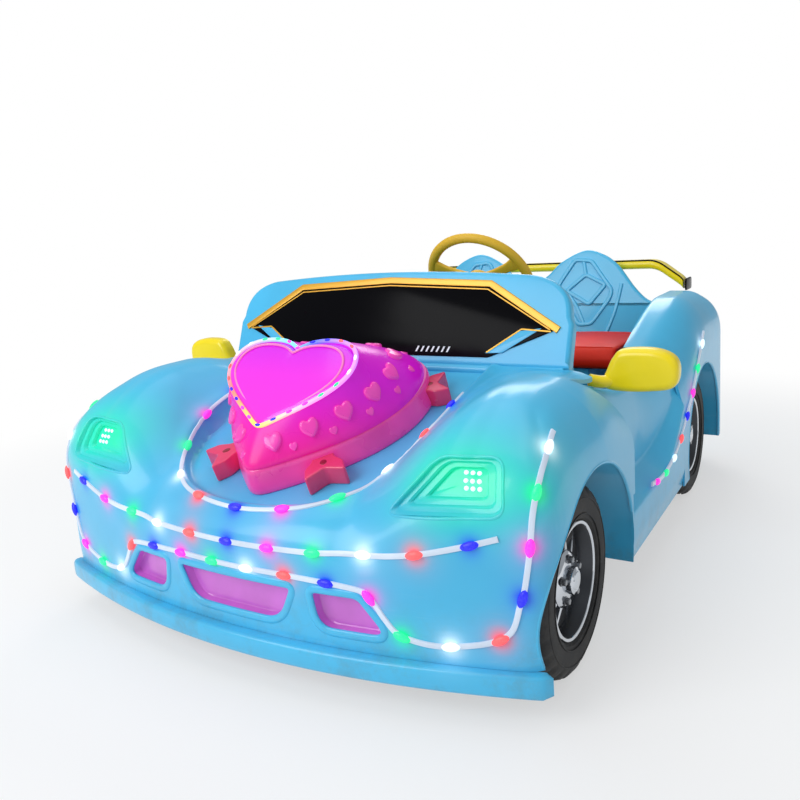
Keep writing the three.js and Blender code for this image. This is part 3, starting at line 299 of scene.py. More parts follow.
BLUE = rgb(76, 191, 236)
FINISH = {
    # this gelcoat carries painted light: the glow that nearby lamps throw on the skin
    "body": fibreglass("body_gelcoat", BLUE, glow=True),
    "body_plain": fibreglass("body_gelcoat_plain", BLUE),
    "black": gloss("black_gloss", rgb(5, 5, 8), 0.16, 0.03, coat=0.0, Specular_IOR_Level=0.06),
    "gold": gloss("gold_lacquer", rgb(222, 166, 44), 0.26, 0.06, coat=0.2, Metallic=0.35),
    "orchid": lit("orchid_insert", rgb(206, 112, 208), rgb(200, 90, 205), 0.16, 0.2),
    "white_lamp": lit("lamp_white", rgb(232, 250, 244), rgb(225, 255, 245), 0.8),
    "heart_side": heart_wall(),
    "heart_low": lit("heart_low", rgb(236, 66, 158), rgb(236, 60, 160), 0.3, 0.25),
    "heart_badge": lit("heart_badge", rgb(238, 62, 176), rgb(240, 60, 180), 0.3, 0.2),
    "heart_top": heart_crown(),
    "coral": lit("coral_lug", rgb(226, 58, 108), rgb(236, 60, 120), 0.12, 0.25),
    # painted shade: a darker coral for the shadow inside the lugs' holes
    "hole": gloss("lug_hole_painted_shade", rgb(150, 12, 44), 0.4, 0.06),
    "channel": lit("strip_channel", rgb(214, 226, 240), rgb(200, 214, 245), 0.2, 0.35),
    "lamps": lamp_capsules(),
    "yellow": gloss("yellow_plastic", rgb(255, 228, 8), 0.25, 0.06, coat=0.2),
    "wheel_yellow": gloss("steering_yellow", rgb(226, 180, 36), 0.42, 0.08, bump=0.1, coat=0.0),
    "red_vinyl": vinyl("red_vinyl", rgb(240, 42, 14)),
    "frame": painted("frame_paint", rgb(34, 36, 40)),
    "steel": metal("bare_steel", rgb(160, 162, 166), 0.32, 0.15, 0.25),
    "chrome": metal("chrome", rgb(214, 218, 224), 0.07, 0.06),
    "tyre": rubber("tyre_rubber", rgb(24, 24, 26), 0.62),
    "dark_steel": metal("dark_steel", rgb(74, 76, 80), 0.35, 0.1),
    # painted highlight: a pale lit pink for the highlights along the heart's rims
    "rim_line": lit("rim_line", rgb(250, 130, 196), rgb(250, 120, 200), 0.3),
    "mat": rubber("floor_rubber", rgb(44, 46, 50)),
    # painted shadow: the dark of the door's vent
    "dark": gloss("slot_painted_shadow", rgb(16, 12, 24), 0.5, 0.1),
    "white": gloss("white_mark", rgb(225, 232, 238), 0.35),
    "mirror_glass": metal("mirror_glass", rgb(225, 230, 235), 0.03, 0.02),
}


# ---- making pieces ----
def lerp(a, b, t):
    return a + (b - a) * t


def smooth(x, low, high):
    t = np.clip((np.asarray(x, float) - low) / (high - low), 0, 1)
    return t * t * (3 - 2 * t)


def mesh_of(name, points, faces):
    mesh = bpy.data.meshes.new(name)
    mesh.from_pydata([tuple(p) for p in points], [], faces)
    mesh.update()
    return mesh


def raw(name, points, faces, outward=True):
    """A loose object that is still to be carved or copied."""
    mesh = mesh_of(name, points, faces)
    made = linked(name, mesh)
    if outward:
        work = bmesh.new()
        work.from_mesh(mesh)
        bmesh.ops.remove_doubles(work, verts=work.verts, dist=1e-6)
        bmesh.ops.recalc_face_normals(work, faces=work.faces)
        work.to_mesh(mesh)
        work.free()
    return made


def finish_piece(made, finish, body="body", replaces=(), angle=32):
    """Gives a made object its material, its smooth shading and its body."""
    mesh = made.data
    if not any(mesh.materials):
        mesh.materials.clear()
        mesh.materials.append(FINISH[finish])
    mesh.shade_smooth()
    mesh.set_sharp_from_angle(angle=math.radians(angle))
    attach(made, body)
    if replaces:
        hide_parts(*replaces)
    return made


def piece(name, points, faces, finish, body="body", slot=None, replaces=(), angle=32):
    return finish_piece(raw(name, points, faces), finish, body, replaces, angle)


def settle(made):
    """Turns an object and its modifiers into one plain mesh."""
    bpy.context.view_layer.update()
    solid = bpy.data.meshes.new_from_object(made.evaluated_get(bpy.context.evaluated_depsgraph_get()))
    made.modifiers.clear()
    made.data = solid
    return made


def carve(made, cutters, operation="DIFFERENCE"):
    """Cuts the cutters out of an object, or keeps only what they share, and removes them."""
    for cutter in cutters:
        step = made.modifiers.new("carve", "BOOLEAN")
        step.object, step.operation, step.solver = cutter, operation, "MANIFOLD"
    settle(made)
    for cutter in cutters:
        bpy.data.objects.remove(cutter)
    return made


def joined(name, objects):
    """Several loose objects made into one."""
    work = bmesh.new()
    for part in objects:
        work.from_mesh(part.data)
        bpy.data.objects.remove(part)
    mesh = bpy.data.meshes.new(name)
    work.to_mesh(mesh)
    work.free()
    return linked(name, mesh)


def net(rows, columns, closed_rows=False, closed_columns=False):
    """Quads over a grid of points kept row by row."""
    faces = []
    for i in range(rows if closed_rows else rows - 1):
        for j in range(columns if closed_columns else columns - 1):
            a, b = i * columns, ((i + 1) % rows) * columns
            k = (j + 1) % columns
            faces.append((a + j, a + k, b + k, b + j))
    return faces


def caps_of(rows, columns):
    """The two faces that close a tube of rings at its first and its last ring."""
    return [tuple(range(columns))[::-1], tuple(range((rows - 1) * columns, rows * columns))]


def rounded_copy(node, finish, width, segments=3, body="body", angle=30):
    """A CAD node's shape again with its edges rounded."""
    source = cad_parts[node]
    made = linked(node + "_rounded", source.data.copy())
    made.data.materials.clear()
    work = bmesh.new()
    work.from_mesh(made.data)
    bmesh.ops.remove_doubles(work, verts=work.verts, dist=1e-5)
    bmesh.ops.dissolve_limit(work, angle_limit=math.radians(1), verts=work.verts, edges=work.edges)
    work.to_mesh(made.data)
    work.free()
    step = made.modifiers.new("edge", "BEVEL")
    step.width, step.segments, step.limit_method, step.angle_limit = width, segments, "ANGLE", math.radians(angle)
    step.use_clamp_overlap = True
    settle(made)
    return finish_piece(made, finish, body, (node,))


def smooth_line(points, count, closed=False):
    """A curve through the points, evenly stepped along its length."""
    p = np.asarray(points, float)
    n = len(p)
    out = []
    for i in range(n if closed else n - 1):
        a, b, c, d = ((p[(i + k) % n] if closed else p[min(max(i + k, 0), n - 1)]) for k in (-1, 0, 1, 2))
        for t in np.linspace(0, 1, 24, endpoint=False):
            out.append(0.5 * (2 * b + (c - a) * t + (2 * a - 5 * b + 4 * c - d) * t * t
                              + (3 * b - a - 3 * c + d) * t ** 3))
    if not closed:
        out.append(p[-1])
    return even(np.array(out), count, closed)


def even(points, count, closed=False):
    """The same line with evenly spaced points."""
    p = np.asarray(points, float)
    if closed:
        p = np.vstack([p, p[:1]])
    run = np.concatenate([[0], np.cumsum(np.linalg.norm(np.diff(p, axis=0), axis=1))])
    at = np.linspace(0, run[-1], count + 1 if closed else count)
    out = np.column_stack([np.interp(at, run, p[:, k]) for k in range(p.shape[1])])
    return out[:-1] if closed else out


def length_of(points):
    return float(np.linalg.norm(np.diff(points, axis=0), axis=1).sum())


def along(points, closed=False):
    """Unit directions of travel at each point."""
    p = np.asarray(points, float)
    way = np.roll(p, -1, 0) - np.roll(p, 1, 0)
    if not closed:
        way[0], way[-1] = p[1] - p[0], p[-1] - p[-2]
    return way / np.maximum(np.linalg.norm(way, axis=1, keepdims=True), 1e-12)


def sweep(path, out, profile, closed=False, caps=True):
    """Points and faces of a profile (across, outwards) drawn along a path."""
    path, out = np.asarray(path, float), np.asarray(out, float)
    way = along(path, closed)
    out = out - way * (out * way).sum(1, keepdims=True)
    out /= np.maximum(np.linalg.norm(out, axis=1, keepdims=True), 1e-12)
    across = np.cross(way, out)
    rings = [path + across * a + out * b for a, b in profile]
    points = np.stack(rings, 1).reshape(-1, 3)
    rows, columns = len(path), len(profile)
    faces = net(rows, columns, closed, True)
    if caps and not closed:
        faces += caps_of(rows, columns)
    return points, faces


def circle(radius, count=10, squash=1.0, lift=0.0):
    turn = np.linspace(0, 2 * math.pi, count, endpoint=False)
    return [(radius * math.cos(a), radius * squash * math.sin(a) + lift) for a in turn]


def ribbon(width, height, edge=0.3):
    """A low strip with rounded shoulders, sunk slightly below the skin."""
    w = width / 2
    return [(-w, -0.001), (-w, height * 0.55), (-w * (1 - edge * 0.4), height * 0.9), (-w * (1 - edge), height),
            (w * (1 - edge), height), (w * (1 - edge * 0.4), height * 0.9), (w, height * 0.55), (w, -0.001)]


def tube(name, path, radius, finish, body="body", closed=False, out=None, squash=1.0, sides=10, **more):
    path = np.asarray(path, float)
    if out is None:
        out = np.tile((0.13, 0.21, 0.97), (len(path), 1))
    return piece(name, *sweep(path, out, circle(radius, sides, squash), closed), finish, body, **more)


def inward(outline, amount):
    """A closed outline drawn in by an amount."""
    way = along(outline, True)
    side = np.column_stack([-way[:, 1], way[:, 0]])
    area = np.sum(outline[:, 0] * np.roll(outline[:, 1], -1) - outline[:, 1] * np.roll(outline[:, 0], -1))
    return outline + side * (amount if area > 0 else -amount)


def slab(outline, low, high, radius, place, steps=4, low_radius=None):
    """Points and faces of an outline raised from low to high, its edges rounded, set by a 4x4 place."""
    outline = np.asarray(outline, float)
    low_radius = radius if low_radius is None else low_radius
    rings = []
    for i in range(steps + 1):
        a = math.pi / 2 * i / steps
        rings.append((low_radius * (1 - math.sin(a)), low + low_radius * (1 - math.cos(a))))
    for i in range(steps + 1):
        a = math.pi / 2 * i / steps
        rings.append((radius * (1 - math.cos(a)), high - radius * (1 - math.sin(a))))
    points = []
    for draw, level in rings:
        ring = inward(outline, draw)
        points.append(np.column_stack([ring, np.full(len(ring), level)]))
    points = np.vstack(points)
    columns = len(outline)
    faces = net(len(rings), columns, False, True) + caps_of(len(rings), columns)
    m = np.array(place)
    return points @ m[:3, :3].T + m[:3, 3], faces


def turned(profile, segments, centre, side=1):
    """Points and faces of a profile (radius, along the axle) turned about the axle line."""
    points = []
    for turn in np.linspace(0, 2 * math.pi, segments, endpoint=False):
        for r, x in profile:
            points.append((centre[0] + side * x, centre[1] + r * math.cos(turn), centre[2] + r * math.sin(turn)))
    return np.array(points), net(segments, len(profile), True, True)


def frame_matrix(x, y, z, origin):
    m = Matrix((x, y, z)).transposed().to_4x4()
    m.translation = origin
    return m


# ---- repeated things: copies set on points by Geometry Nodes ----
def copies_tree():
    tree = bpy.data.node_groups.new("copies_on_points", "GeometryNodeTree")
    for name, kind in (("Points", "Geometry"), ("Shape", "Object"), ("Size", "Float"), ("Finish", "Material")):
        tree.interface.new_socket(name, in_out="INPUT", socket_type="NodeSocket" + kind)
    tree.interface.new_socket("Copies", in_out="OUTPUT", socket_type="NodeSocketGeometry")
    new, link = tree.nodes.new, tree.links.new
    given, made = new("NodeGroupInput"), new("NodeGroupOutput")
    shape = new("GeometryNodeObjectInfo")
    link(given.outputs["Shape"], shape.inputs["Object"])
    turn = new("FunctionNodeAxesToRotation")
    turn.primary_axis, turn.secondary_axis = "Z", "X"
    for name, socket in (("out", "Primary Axis"), ("along", "Secondary Axis")):
        read = new("GeometryNodeInputNamedAttribute")
        read.data_type = "FLOAT_VECTOR"
        read.inputs["Name"].default_value = name
        link(read.outputs["Attribute"], turn.inputs[socket])
    copies = new("GeometryNodeInstanceOnPoints")
    link(given.outputs["Points"], copies.inputs["Points"])
    link(shape.outputs["Geometry"], copies.inputs["Instance"])
    link(turn.outputs["Rotation"], copies.inputs["Rotation"])
    link(given.outputs["Size"], copies.inputs["Scale"])
    real = new("GeometryNodeRealizeInstances")
    link(copies.outputs["Instances"], real.inputs["Geometry"])
    paint = new("GeometryNodeSetMaterial")
    link(real.outputs["Geometry"], paint.inputs["Geometry"])
    link(given.outputs["Finish"], paint.inputs["Material"])
    link(paint.outputs["Geometry"], made.inputs["Copies"])
    return tree


COPIES = copies_tree()
SOCKETS = {s.name: s.identifier for s in COPIES.interface.items_tree if s.in_out == "INPUT"}


def copies(name, points, out, way, shape, finish, body="body", size=1.0, colours=None, slot=None, angle=40):
    """Copies of a small shape on points, its Z outwards and its X along the way."""
    mesh = bpy.data.meshes.new(name)
    mesh.from_pydata([tuple(p) for p in points], [], [])
    for label, values in (("out", out), ("along", way)):
        mesh.attributes.new(label, "FLOAT_VECTOR", "POINT").data.foreach_set(
            "vector", np.asarray(values, np.float32).ravel())
    if colours is not None:
        mesh.attributes.new("lamp_colour", "FLOAT_COLOR", "POINT").data.foreach_set(
            "color", np.asarray(colours, np.float32).ravel())
    made = linked(name, mesh)
    step = made.modifiers.new("copies", "NODES")
    step.node_group = COPIES
    step[SOCKETS["Shape"]] = shape
    step[SOCKETS["Size"]] = size
    step[SOCKETS["Finish"]] = FINISH[finish]
    settle(made)
    return finish_piece(made, finish, body, angle=angle)


def ball_shape(name, rx, ry, rz, rings=6, segments=10, flat_below=None):
    work = bmesh.new()
    bmesh.ops.create_uvsphere(work, u_segments=segments, v_segments=rings, radius=1)
    for v in work.verts:
        v.co = Vector((v.co.x * rx, v.co.y * ry, v.co.z * rz))
        if flat_below is not None:
            v.co.z = max(v.co.z, flat_below)
    bmesh.ops.remove_doubles(work, verts=work.verts, dist=1e-6)
    return shape_from(name, work)


def shape_from(name, work):
    mesh = bpy.data.meshes.new(name)
    work.to_mesh(mesh)
    work.free()
    return linked(name, mesh)


def bolt_shape(name, radius, height, sides=6, washer=1.35):
    """A bolt head on a washer, its crown chamfered."""
    points, faces = [], []
    washer_rings = ((radius * washer, 0), (radius * washer, height * 0.25), (radius * 1.02, height * 0.26))
    head_rings = ((radius, height * 0.2), (radius, height * 0.85), (radius * 0.84, height))
    for rings, count in ((washer_rings, 20), (head_rings, sides)):
        base = len(points)
        for r, z in rings:
            turns = np.linspace(0, 2 * math.pi, count, endpoint=False)
            points += [(r * math.cos(a), r * math.sin(a), z) for a in turns]
        for a, b in ((base, base + count), (base + count, base + 2 * count)):
            faces += [(a + j, a + (j + 1) % count, b + (j + 1) % count, b + j) for j in range(count)]
        faces += [tuple(range(base, base + count))[::-1], tuple(range(base + 2 * count, base + 3 * count))]
    return linked(name, mesh_of(name, points, faces))


# ---- sizes read from the frame ----
SHELL_LOW, SHELL_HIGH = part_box("front_body_shell")
HALF, NOSE, BOTTOM, CLIP_END = SHELL_HIGH.x, SHELL_LOW.y, SHELL_LOW.z, SHELL_HIGH.y
REAR_LOW, REAR_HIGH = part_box("rear_body_shell")
REAR_CLIP, TAIL = REAR_LOW.y, REAR_HIGH.y - 0.025
TYRE_LOW, TYRE_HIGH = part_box("tyre_front_left")
TYRE_RADIUS = (TYRE_HIGH.z - TYRE_LOW.z) / 2
FRONT_AXLE, REAR_AXLE = WHEELS[0][1], WHEELS[1][1]
WALL = 0.006
SEAM = 0.0003
ARCH_SETBACK, ARCH_RADIUS, ARCH_Z = 0.048, 0.238, 0.160
ARCH_INNER_X, ARCH_OUTER_X = 0.470, 0.700
ARCH_END = FRONT_AXLE + ARCH_SETBACK + ARCH_RADIUS
DOOR_FRONT = ARCH_END + SEAM
BASIN_DEPTH, BASIN_HALF = 0.018, 0.300
NOSE_BOW, TAIL_BOW, LIP_BOW, BOW_AT = 0.085, 0.060, 0.092, 0.6
HOOD_HEIGHT, HOOD_SLOPE = 0.430, 0.35
FENDER_HEIGHT, FENDER_FALL = 0.556, 0.026
DOOR_HEIGHT, DOOR_TOP_FALL, HAUNCH_RISE = 0.458, 0.060, 0.142


# ---- the body's skin: a crown with its ends and sides rolled over ----
def nose_line(x):
    """How far forward the nose reaches at a distance from the middle."""
    return NOSE + NOSE_BOW * (x / BOW_AT) ** 2


def tail_line(x):
    return TAIL - TAIL_BOW * (x / BOW_AT) ** 2


def hood_plane(y):
    return HOOD_HEIGHT + HOOD_SLOPE * (y - FRONT_AXLE)


def side_top(y):
    """The height of the side: low at the doors, rising to the haunch."""
    fall = 1 - smooth(y, CLIP_END + 0.010, FRONT_AXLE + 0.520)
    rise = smooth(y, FRONT_AXLE + 0.640, FRONT_AXLE + 1.130)
    return DOOR_HEIGHT + DOOR_TOP_FALL * fall + HAUNCH_RISE * rise


def fender_top(y):
    return FENDER_HEIGHT - FENDER_FALL * smooth(y, CLIP_END - 0.170, CLIP_END)


FRONT_SKIN = {
    "end": -1, "line": nose_line, "inner": CLIP_END,
    "crown": lambda x, y: lerp(hood_plane(y), fender_top(y), smooth(abs(x), 0.240, 0.480)),
    "end_radius": lambda x: lerp(0.060, 0.300, smooth(abs(x), 0.180, 0.480)),
    "end_drop": lambda x: lerp(0.050, 0.250, smooth(abs(x), 0.180, 0.480)),
    "side_radius": lambda y: 0.150 + 0 * y, "side_drop": lambda y: 0.170 + 0 * y}
REAR_SKIN = {
    "end": 1, "line": tail_line, "inner": REAR_CLIP,
    "crown": lambda x, y: lerp(0.500, side_top(y), smooth(abs(x), 0.430, 0.500)),
    "end_radius": lambda x: 0.150 + 0 * x, "end_drop": lambda x: 0.130 + 0 * x,
    "side_radius": lambda y: lerp(0.120, 0.100, smooth(y, REAR_CLIP, REAR_AXLE)),
    "side_drop": lambda y: lerp(0.220, 0.150, smooth(y, REAR_CLIP, REAR_AXLE))}


def roll_at(skin, x, y, inset):
    """How far round the rolled edge a place lies, 0 inside and 1 at its foot, and how deep the roll is."""
    inward_by = (skin["line"](x) - y) * skin["end"] - inset
    end = np.clip(1 - inward_by / skin["end_radius"](x), 0, 1)
    side = np.clip(1 - (HALF - inset - abs(x)) / skin["side_radius"](y), 0, 1)
    power = lerp(3, 8, smooth(np.maximum(end, side), 0.4, 1))
    roll = (end ** power + side ** power) ** (1 / power)
    share = end / np.maximum(end + side, 1e-9)
    return roll, lerp(skin["side_drop"](y), skin["end_drop"](x), share)


def moulding(name, skin, inset, bottom, across, length, past=0.0, detail=None, rows=18):
    """The closed block under the skin, drawn in by the inset."""
    edge = HALF - inset
    u = np.linspace(-1, 1, across + 1)[:, None]
    v = np.linspace(0, 1, length + 1)[None, :]
    x = (0.5 * np.sin(u * math.pi / 2) + 0.5 * u) * edge + 0 * v
    end_y = skin["line"](x) - skin["end"] * inset
    y = lerp(skin["inner"] - skin["end"] * past, end_y, 0.6 * np.sin(v * math.pi / 2) + 0.4 * v)
    roll, drop = roll_at(skin, x, y, inset)
    over = roll > 1
    centre_x = np.sign(x) * (edge - skin["side_radius"](y))
    centre_y = end_y - skin["end"] * skin["end_radius"](x)
    x, y = (np.where(over, centre + (value - centre) / np.maximum(roll, 1), value)
            for value, centre in ((x, centre_x), (y, centre_y)))
    held = np.minimum(roll, 1)
    top = skin["crown"](x, y) - inset - drop * (1 - np.sqrt(1 - held * held))
    if detail:
        top = detail(x, y, top, inset)
    grid = np.stack([x, y, top], -1)
    points = list(grid.reshape(-1, 3))
    columns = length + 1
    faces = net(across + 1, columns)
    loop = list(range(columns)) + [i * columns + length for i in range(1, across + 1)]
    loop += [across * columns + j for j in range(length - 1, -1, -1)]
    loop += [i * columns for i in range(across - 1, 0, -1)]
    ring = loop
    for k in range(1, rows + 1):
        start = len(points)
        for index in loop:
            px, py, pz = grid.reshape(-1, 3)[index]
            points.append((px, py, lerp(pz, bottom, k / rows)))
        fresh = list(range(start, start + len(loop)))
        after = [(j + 1) % len(loop) for j in range(len(loop))]
        faces += [(ring[j], ring[following], fresh[following], fresh[j]) for j, following in enumerate(after)]
        ring = fresh
    faces.append(tuple(ring))
    return raw(name, points, faces)


def bezier(points, steps):
    """A curve drawn by four control points, without its last point."""
    a, b, c, d = (np.array(p, float) for p in points)
    t = np.linspace(0, 1, steps, endpoint=False)[:, None]
    return a * (1 - t) ** 3 + 3 * b * t * (1 - t) ** 2 + 3 * c * t * t * (1 - t) + d * t ** 3


def basin_outline():
    """The egg-shaped hollow round the heart lamp, open towards the windscreen."""
    front, shoulder, back = FRONT_AXLE - 0.225, FRONT_AXLE + 0.040, CLIP_END + 0.050
    h = BASIN_HALF
    left = bezier([(-h, shoulder), (-h, front + 0.06), (-h * 0.55, front), (0, front)], 40)
    right = bezier([(0, front), (h * 0.55, front), (h, front + 0.06), (h, shoulder)], 40)
    return np.vstack([[(-h, back)], left, right, [(h, shoulder), (h, back)]])


def depth_inside(outline, x, y):
    """Distance to the outline's edge, positive inside."""
    shape = x.shape
    p = np.column_stack([x.ravel(), y.ravel()])
    a, b = outline, np.roll(outline, -1, 0)
    best = np.full(len(p), 1e9)
    inside = np.zeros(len(p), bool)
    for s, e in zip(a, b):
        d = e - s
        t = np.clip(((p - s) @ d) / max(d @ d, 1e-12), 0, 1)
        best = np.minimum(best, np.linalg.norm(p - (s + t[:, None] * d), axis=1))
        if s[1] != e[1]:
            cross = (s[1] > p[:, 1]) != (e[1] > p[:, 1])
            inside ^= cross & (p[:, 0] < (e[0] - s[0]) * (p[:, 1] - s[1]) / (e[1] - s[1]) + s[0])
    return np.where(inside, best, -best).reshape(shape)


BASIN = basin_outline()


def hood_detail(x, y, top, inset):
    """Sinks the egg-shaped basin behind a rounded rim."""
    depth = depth_inside(BASIN, x, y)
    floor = hood_plane(y) - BASIN_DEPTH - inset
    rim = 0.004 * np.exp(-((depth + 0.020) / 0.014) ** 2)
    return lerp(top, np.minimum(floor, top), smooth(depth, -0.014, 0.010)) + rim


def prism(name, outline, axis, low, high):
    """A closed prism: the outline lies in the other two axes."""
    order = {"x": (2, 0, 1), "y": (0, 2, 1), "z": (0, 1, 2)}[axis]
    n = len(outline)
    flat = [(a, b, level) for level in (low, high) for a, b in outline]
    points = np.array(flat)[:, order]
    faces = [tuple(range(n)), tuple(range(n, 2 * n))]
    faces += [(j, (j + 1) % n, n + (j + 1) % n, n + j) for j in range(n)]
    return raw(name, points, faces)


def ring_outline(radius, a, b, count=96):
    turn = np.linspace(0, 2 * math.pi, count, endpoint=False)
    return np.column_stack([a + radius * np.cos(turn), b + radius * np.sin(turn)])


def arch_cutter(side, y):
    return prism("arch", ring_outline(ARCH_RADIUS, y + ARCH_SETBACK, ARCH_Z), "x",
                 *sorted((side * ARCH_INNER_X, side * ARCH_OUTER_X)))


def rounded_outline(corners, radius, steps=5):
    """A polygon with its corners rounded, by one radius or by one for each corner."""
    p = np.asarray(corners, float)
    radii = np.broadcast_to(radius, len(p))
    out = []
    for k in range(len(p)):
        a, b, c = p[k - 1], p[k], p[(k + 1) % len(p)]
        to_a, to_c = a - b, c - b
        la, lc = np.linalg.norm(to_a), np.linalg.norm(to_c)
        r = min(radii[k], la * 0.45, lc * 0.45)
        s, e = b + to_a / la * r, b + to_c / lc * r
        for t in np.linspace(0, 1, steps):
            out.append(s * (1 - t) ** 2 + 2 * b * t * (1 - t) + e * t * t)
    return np.array(out)


def sided(outline, side):
    """An outline of the car's left side, or its mirror image, always turning the same way round."""
    return outline * (side, 1) if side > 0 else (outline * (side, 1))[::-1]


HEADLIGHT = np.array([(0.338, 0.364), (0.566, 0.380), (0.548, 0.470), (0.425, 0.466)])
SIDE_GRILLE = np.array([(0.204, 0.140), (0.350, 0.140), (0.292, 0.212), (0.192, 0.212)])
GRILLES = [np.array([(-0.116, 0.140), (0.116, 0.140), (0.149, 0.212), (-0.149, 0.212)])]
GRILLES += [sided(SIDE_GRILLE, side) for _, side in SIDES]


def headlight_shape(side):
    return rounded_outline(sided(HEADLIGHT, side), 0.026, 7)


def grille_shape(corners):
    """A grille opening: well rounded below, crisper under the nose."""
    return rounded_outline(corners, [0.036 if z < 0.17 else 0.013 for _, z in corners], 9)


def bvh_of(made):
    work = bmesh.new()
    work.from_mesh(made.data)
    tree = BVHTree.FromBMesh(work)
    work.free()
    return tree


def on_skin(tree, points, start, way):
    """Where rays from start, set off along way, meet the skin, and how it faces there."""
    places, facings = [], []
    for p in points:
        hit, normal, _, _ = tree.ray_cast(Vector(start(p)), Vector(way))
        if hit is None:
            hit, normal = tree.find_nearest(Vector(start(p)) + Vector(way))[:2]
        if normal.dot(Vector(way)) > 0:
            normal = -normal
        places.append(hit)
        facings.append(normal)
    facings = np.array(facings)
    for _ in range(3):
        facings[1:-1] = (facings[:-2] + 2 * facings[1:-1] + facings[2:]) / 4
    return np.array(places), facings / np.linalg.norm(facings, axis=1, keepdims=True)


LAMPS = []
LAMP_COLOURS = [rgb(4, 10, 214), rgb(250, 40, 200), rgb(20, 226, 140), rgb(225, 246, 255), rgb(255, 82, 84)]
CAPSULE = ball_shape("capsule", 0.0175, 0.0084, 0.0062, 8, 12)


def light_strip(name, path, out, spacing, shift=0, body="body", replaces=None, width=0.0105):
    """A pale channel on the skin with lit capsules spaced along it."""
    points, faces = sweep(path, out, ribbon(width, 0.0036))
    piece(name + "_channel", points, faces, "channel", body, "light_strip", (replaces or name,))
    count = max(2, int(length_of(path) / spacing))
    run = np.concatenate([[0], np.cumsum(np.linalg.norm(np.diff(path, axis=0), axis=1))])
    at = (np.arange(count) + 0.5) * run[-1] / count
    places = np.column_stack([np.interp(at, run, path[:, k]) for k in range(3)])
    facing = np.column_stack([np.interp(at, run, out[:, k]) for k in range(3)])
    way = np.column_stack([np.interp(at, run, along(path)[:, k]) for k in range(3)])
    colours = [LAMP_COLOURS[(k + shift) % len(LAMP_COLOURS)] for k in range(count)]
    LAMPS.extend(zip(places, colours))
    copies(name + "_capsules", places + facing * 0.0035, facing, way, CAPSULE, "lamps", body, colours=colours,
           slot="light_strip")


# ---- front body ----
front = moulding("front_body", FRONT_SKIN, 0, BOTTOM, 200, 120, detail=hood_detail)
FRONT_TREE = bvh_of(front)
inner = moulding("front_inner", FRONT_SKIN, WALL, BOTTOM - 0.02, 100, 60, 0.008, hood_detail, rows=4)


def from_nose(p):
    return (p[0], -1.2, p[1])


def from_above(p):
    return (p[0], p[1], 1.0)


nose_strip_line = smooth_line([(-0.556, 0.346), (-0.480, 0.324), (-0.390, 0.304), (-0.280, 0.293), (0, 0.285),
                               (0.280, 0.293), (0.390, 0.304), (0.480, 0.324), (0.556, 0.346)], 130)
light_strip("nose_light_strip", *on_skin(FRONT_TREE, nose_strip_line, from_nose, (0, 1, 0)), 0.096)
BUMPER_HALF = np.array([(0, 0.236), (0.150, 0.237), (0.290, 0.230), (0.320, 0.214), (0.345, 0.178), (0.370, 0.152),
                        (0.418, 0.140), (0.467, 0.141), (0.534, 0.155), (0.571, 0.179), (0.587, 0.229),
                        (0.595, 0.257), (0.606, 0.333), (0.609, 0.389), (0.610, 0.436), (0.606, 0.472),
                        (0.599, 0.494)])
BUMPER = np.vstack([BUMPER_HALF[:0:-1] * (-1, 1), BUMPER_HALF])
bumper_places, bumper_facings = on_skin(FRONT_TREE, smooth_line(BUMPER, 420), from_nose, (0, 1, 0))
light_strip("bumper_light_strip", even(bumper_places, 420), bumper_facings, 0.092, 2)
HOOD = np.array([(-0.312, 0.150), (-0.312, 0.020), (-0.290, -0.080), (-0.240, -0.165), (-0.150, -0.228), (0, -0.250),
                 (0.150, -0.228), (0.240, -0.165), (0.290, -0.080), (0.312, 0.020), (0.312, 0.150)])
hood_line = smooth_line(HOOD + (0, FRONT_AXLE), 200)
light_strip("hood_light_strip", *on_skin(FRONT_TREE, hood_line, from_above, (0, 0, -1)), 0.105, 0, width=0.009)

cutters = [inner]
for outline in GRILLES:
    cutters.append(prism("grille", grille_shape(outline), "y", NOSE - 0.1, NOSE + 0.12))
TRAIL_Y, TRAIL_Z, TRAIL_RADIUS = FRONT_AXLE + 0.050, 0.300, 0.262
for _, side in SIDES:
    cutters.append(arch_cutter(side, FRONT_AXLE))
    cutters.append(prism("lamp", headlight_shape(side), "y", NOSE - 0.1, FRONT_AXLE + 0.06))
    box = np.array([(TRAIL_Y, -0.05), (TRAIL_Y + 0.3, -0.05), (TRAIL_Y + 0.3, 0.65), (TRAIL_Y, 0.65)])
    behind = prism("behind", box, "x", *sorted((side * (HALF - 0.090), side * (HALF + 0.020))))
    disc = prism("disc", ring_outline(TRAIL_RADIUS, TRAIL_Y, TRAIL_Z, 128), "x", *sorted((side * 0.5, side * 0.7)))
    cutters.append(carve(behind, [disc]))
    heel = np.array([(ARCH_END, 0.0), (ARCH_END + 0.1, 0.0), (ARCH_END + 0.1, 0.26), (ARCH_END, 0.26)])
    cutters.append(prism("heel", heel, "x", *sorted((side * 0.545, side * 0.695))))
carve(front, cutters)


GLOW_SPREADS = ((0.85, 0.019), (0.12, 0.042))


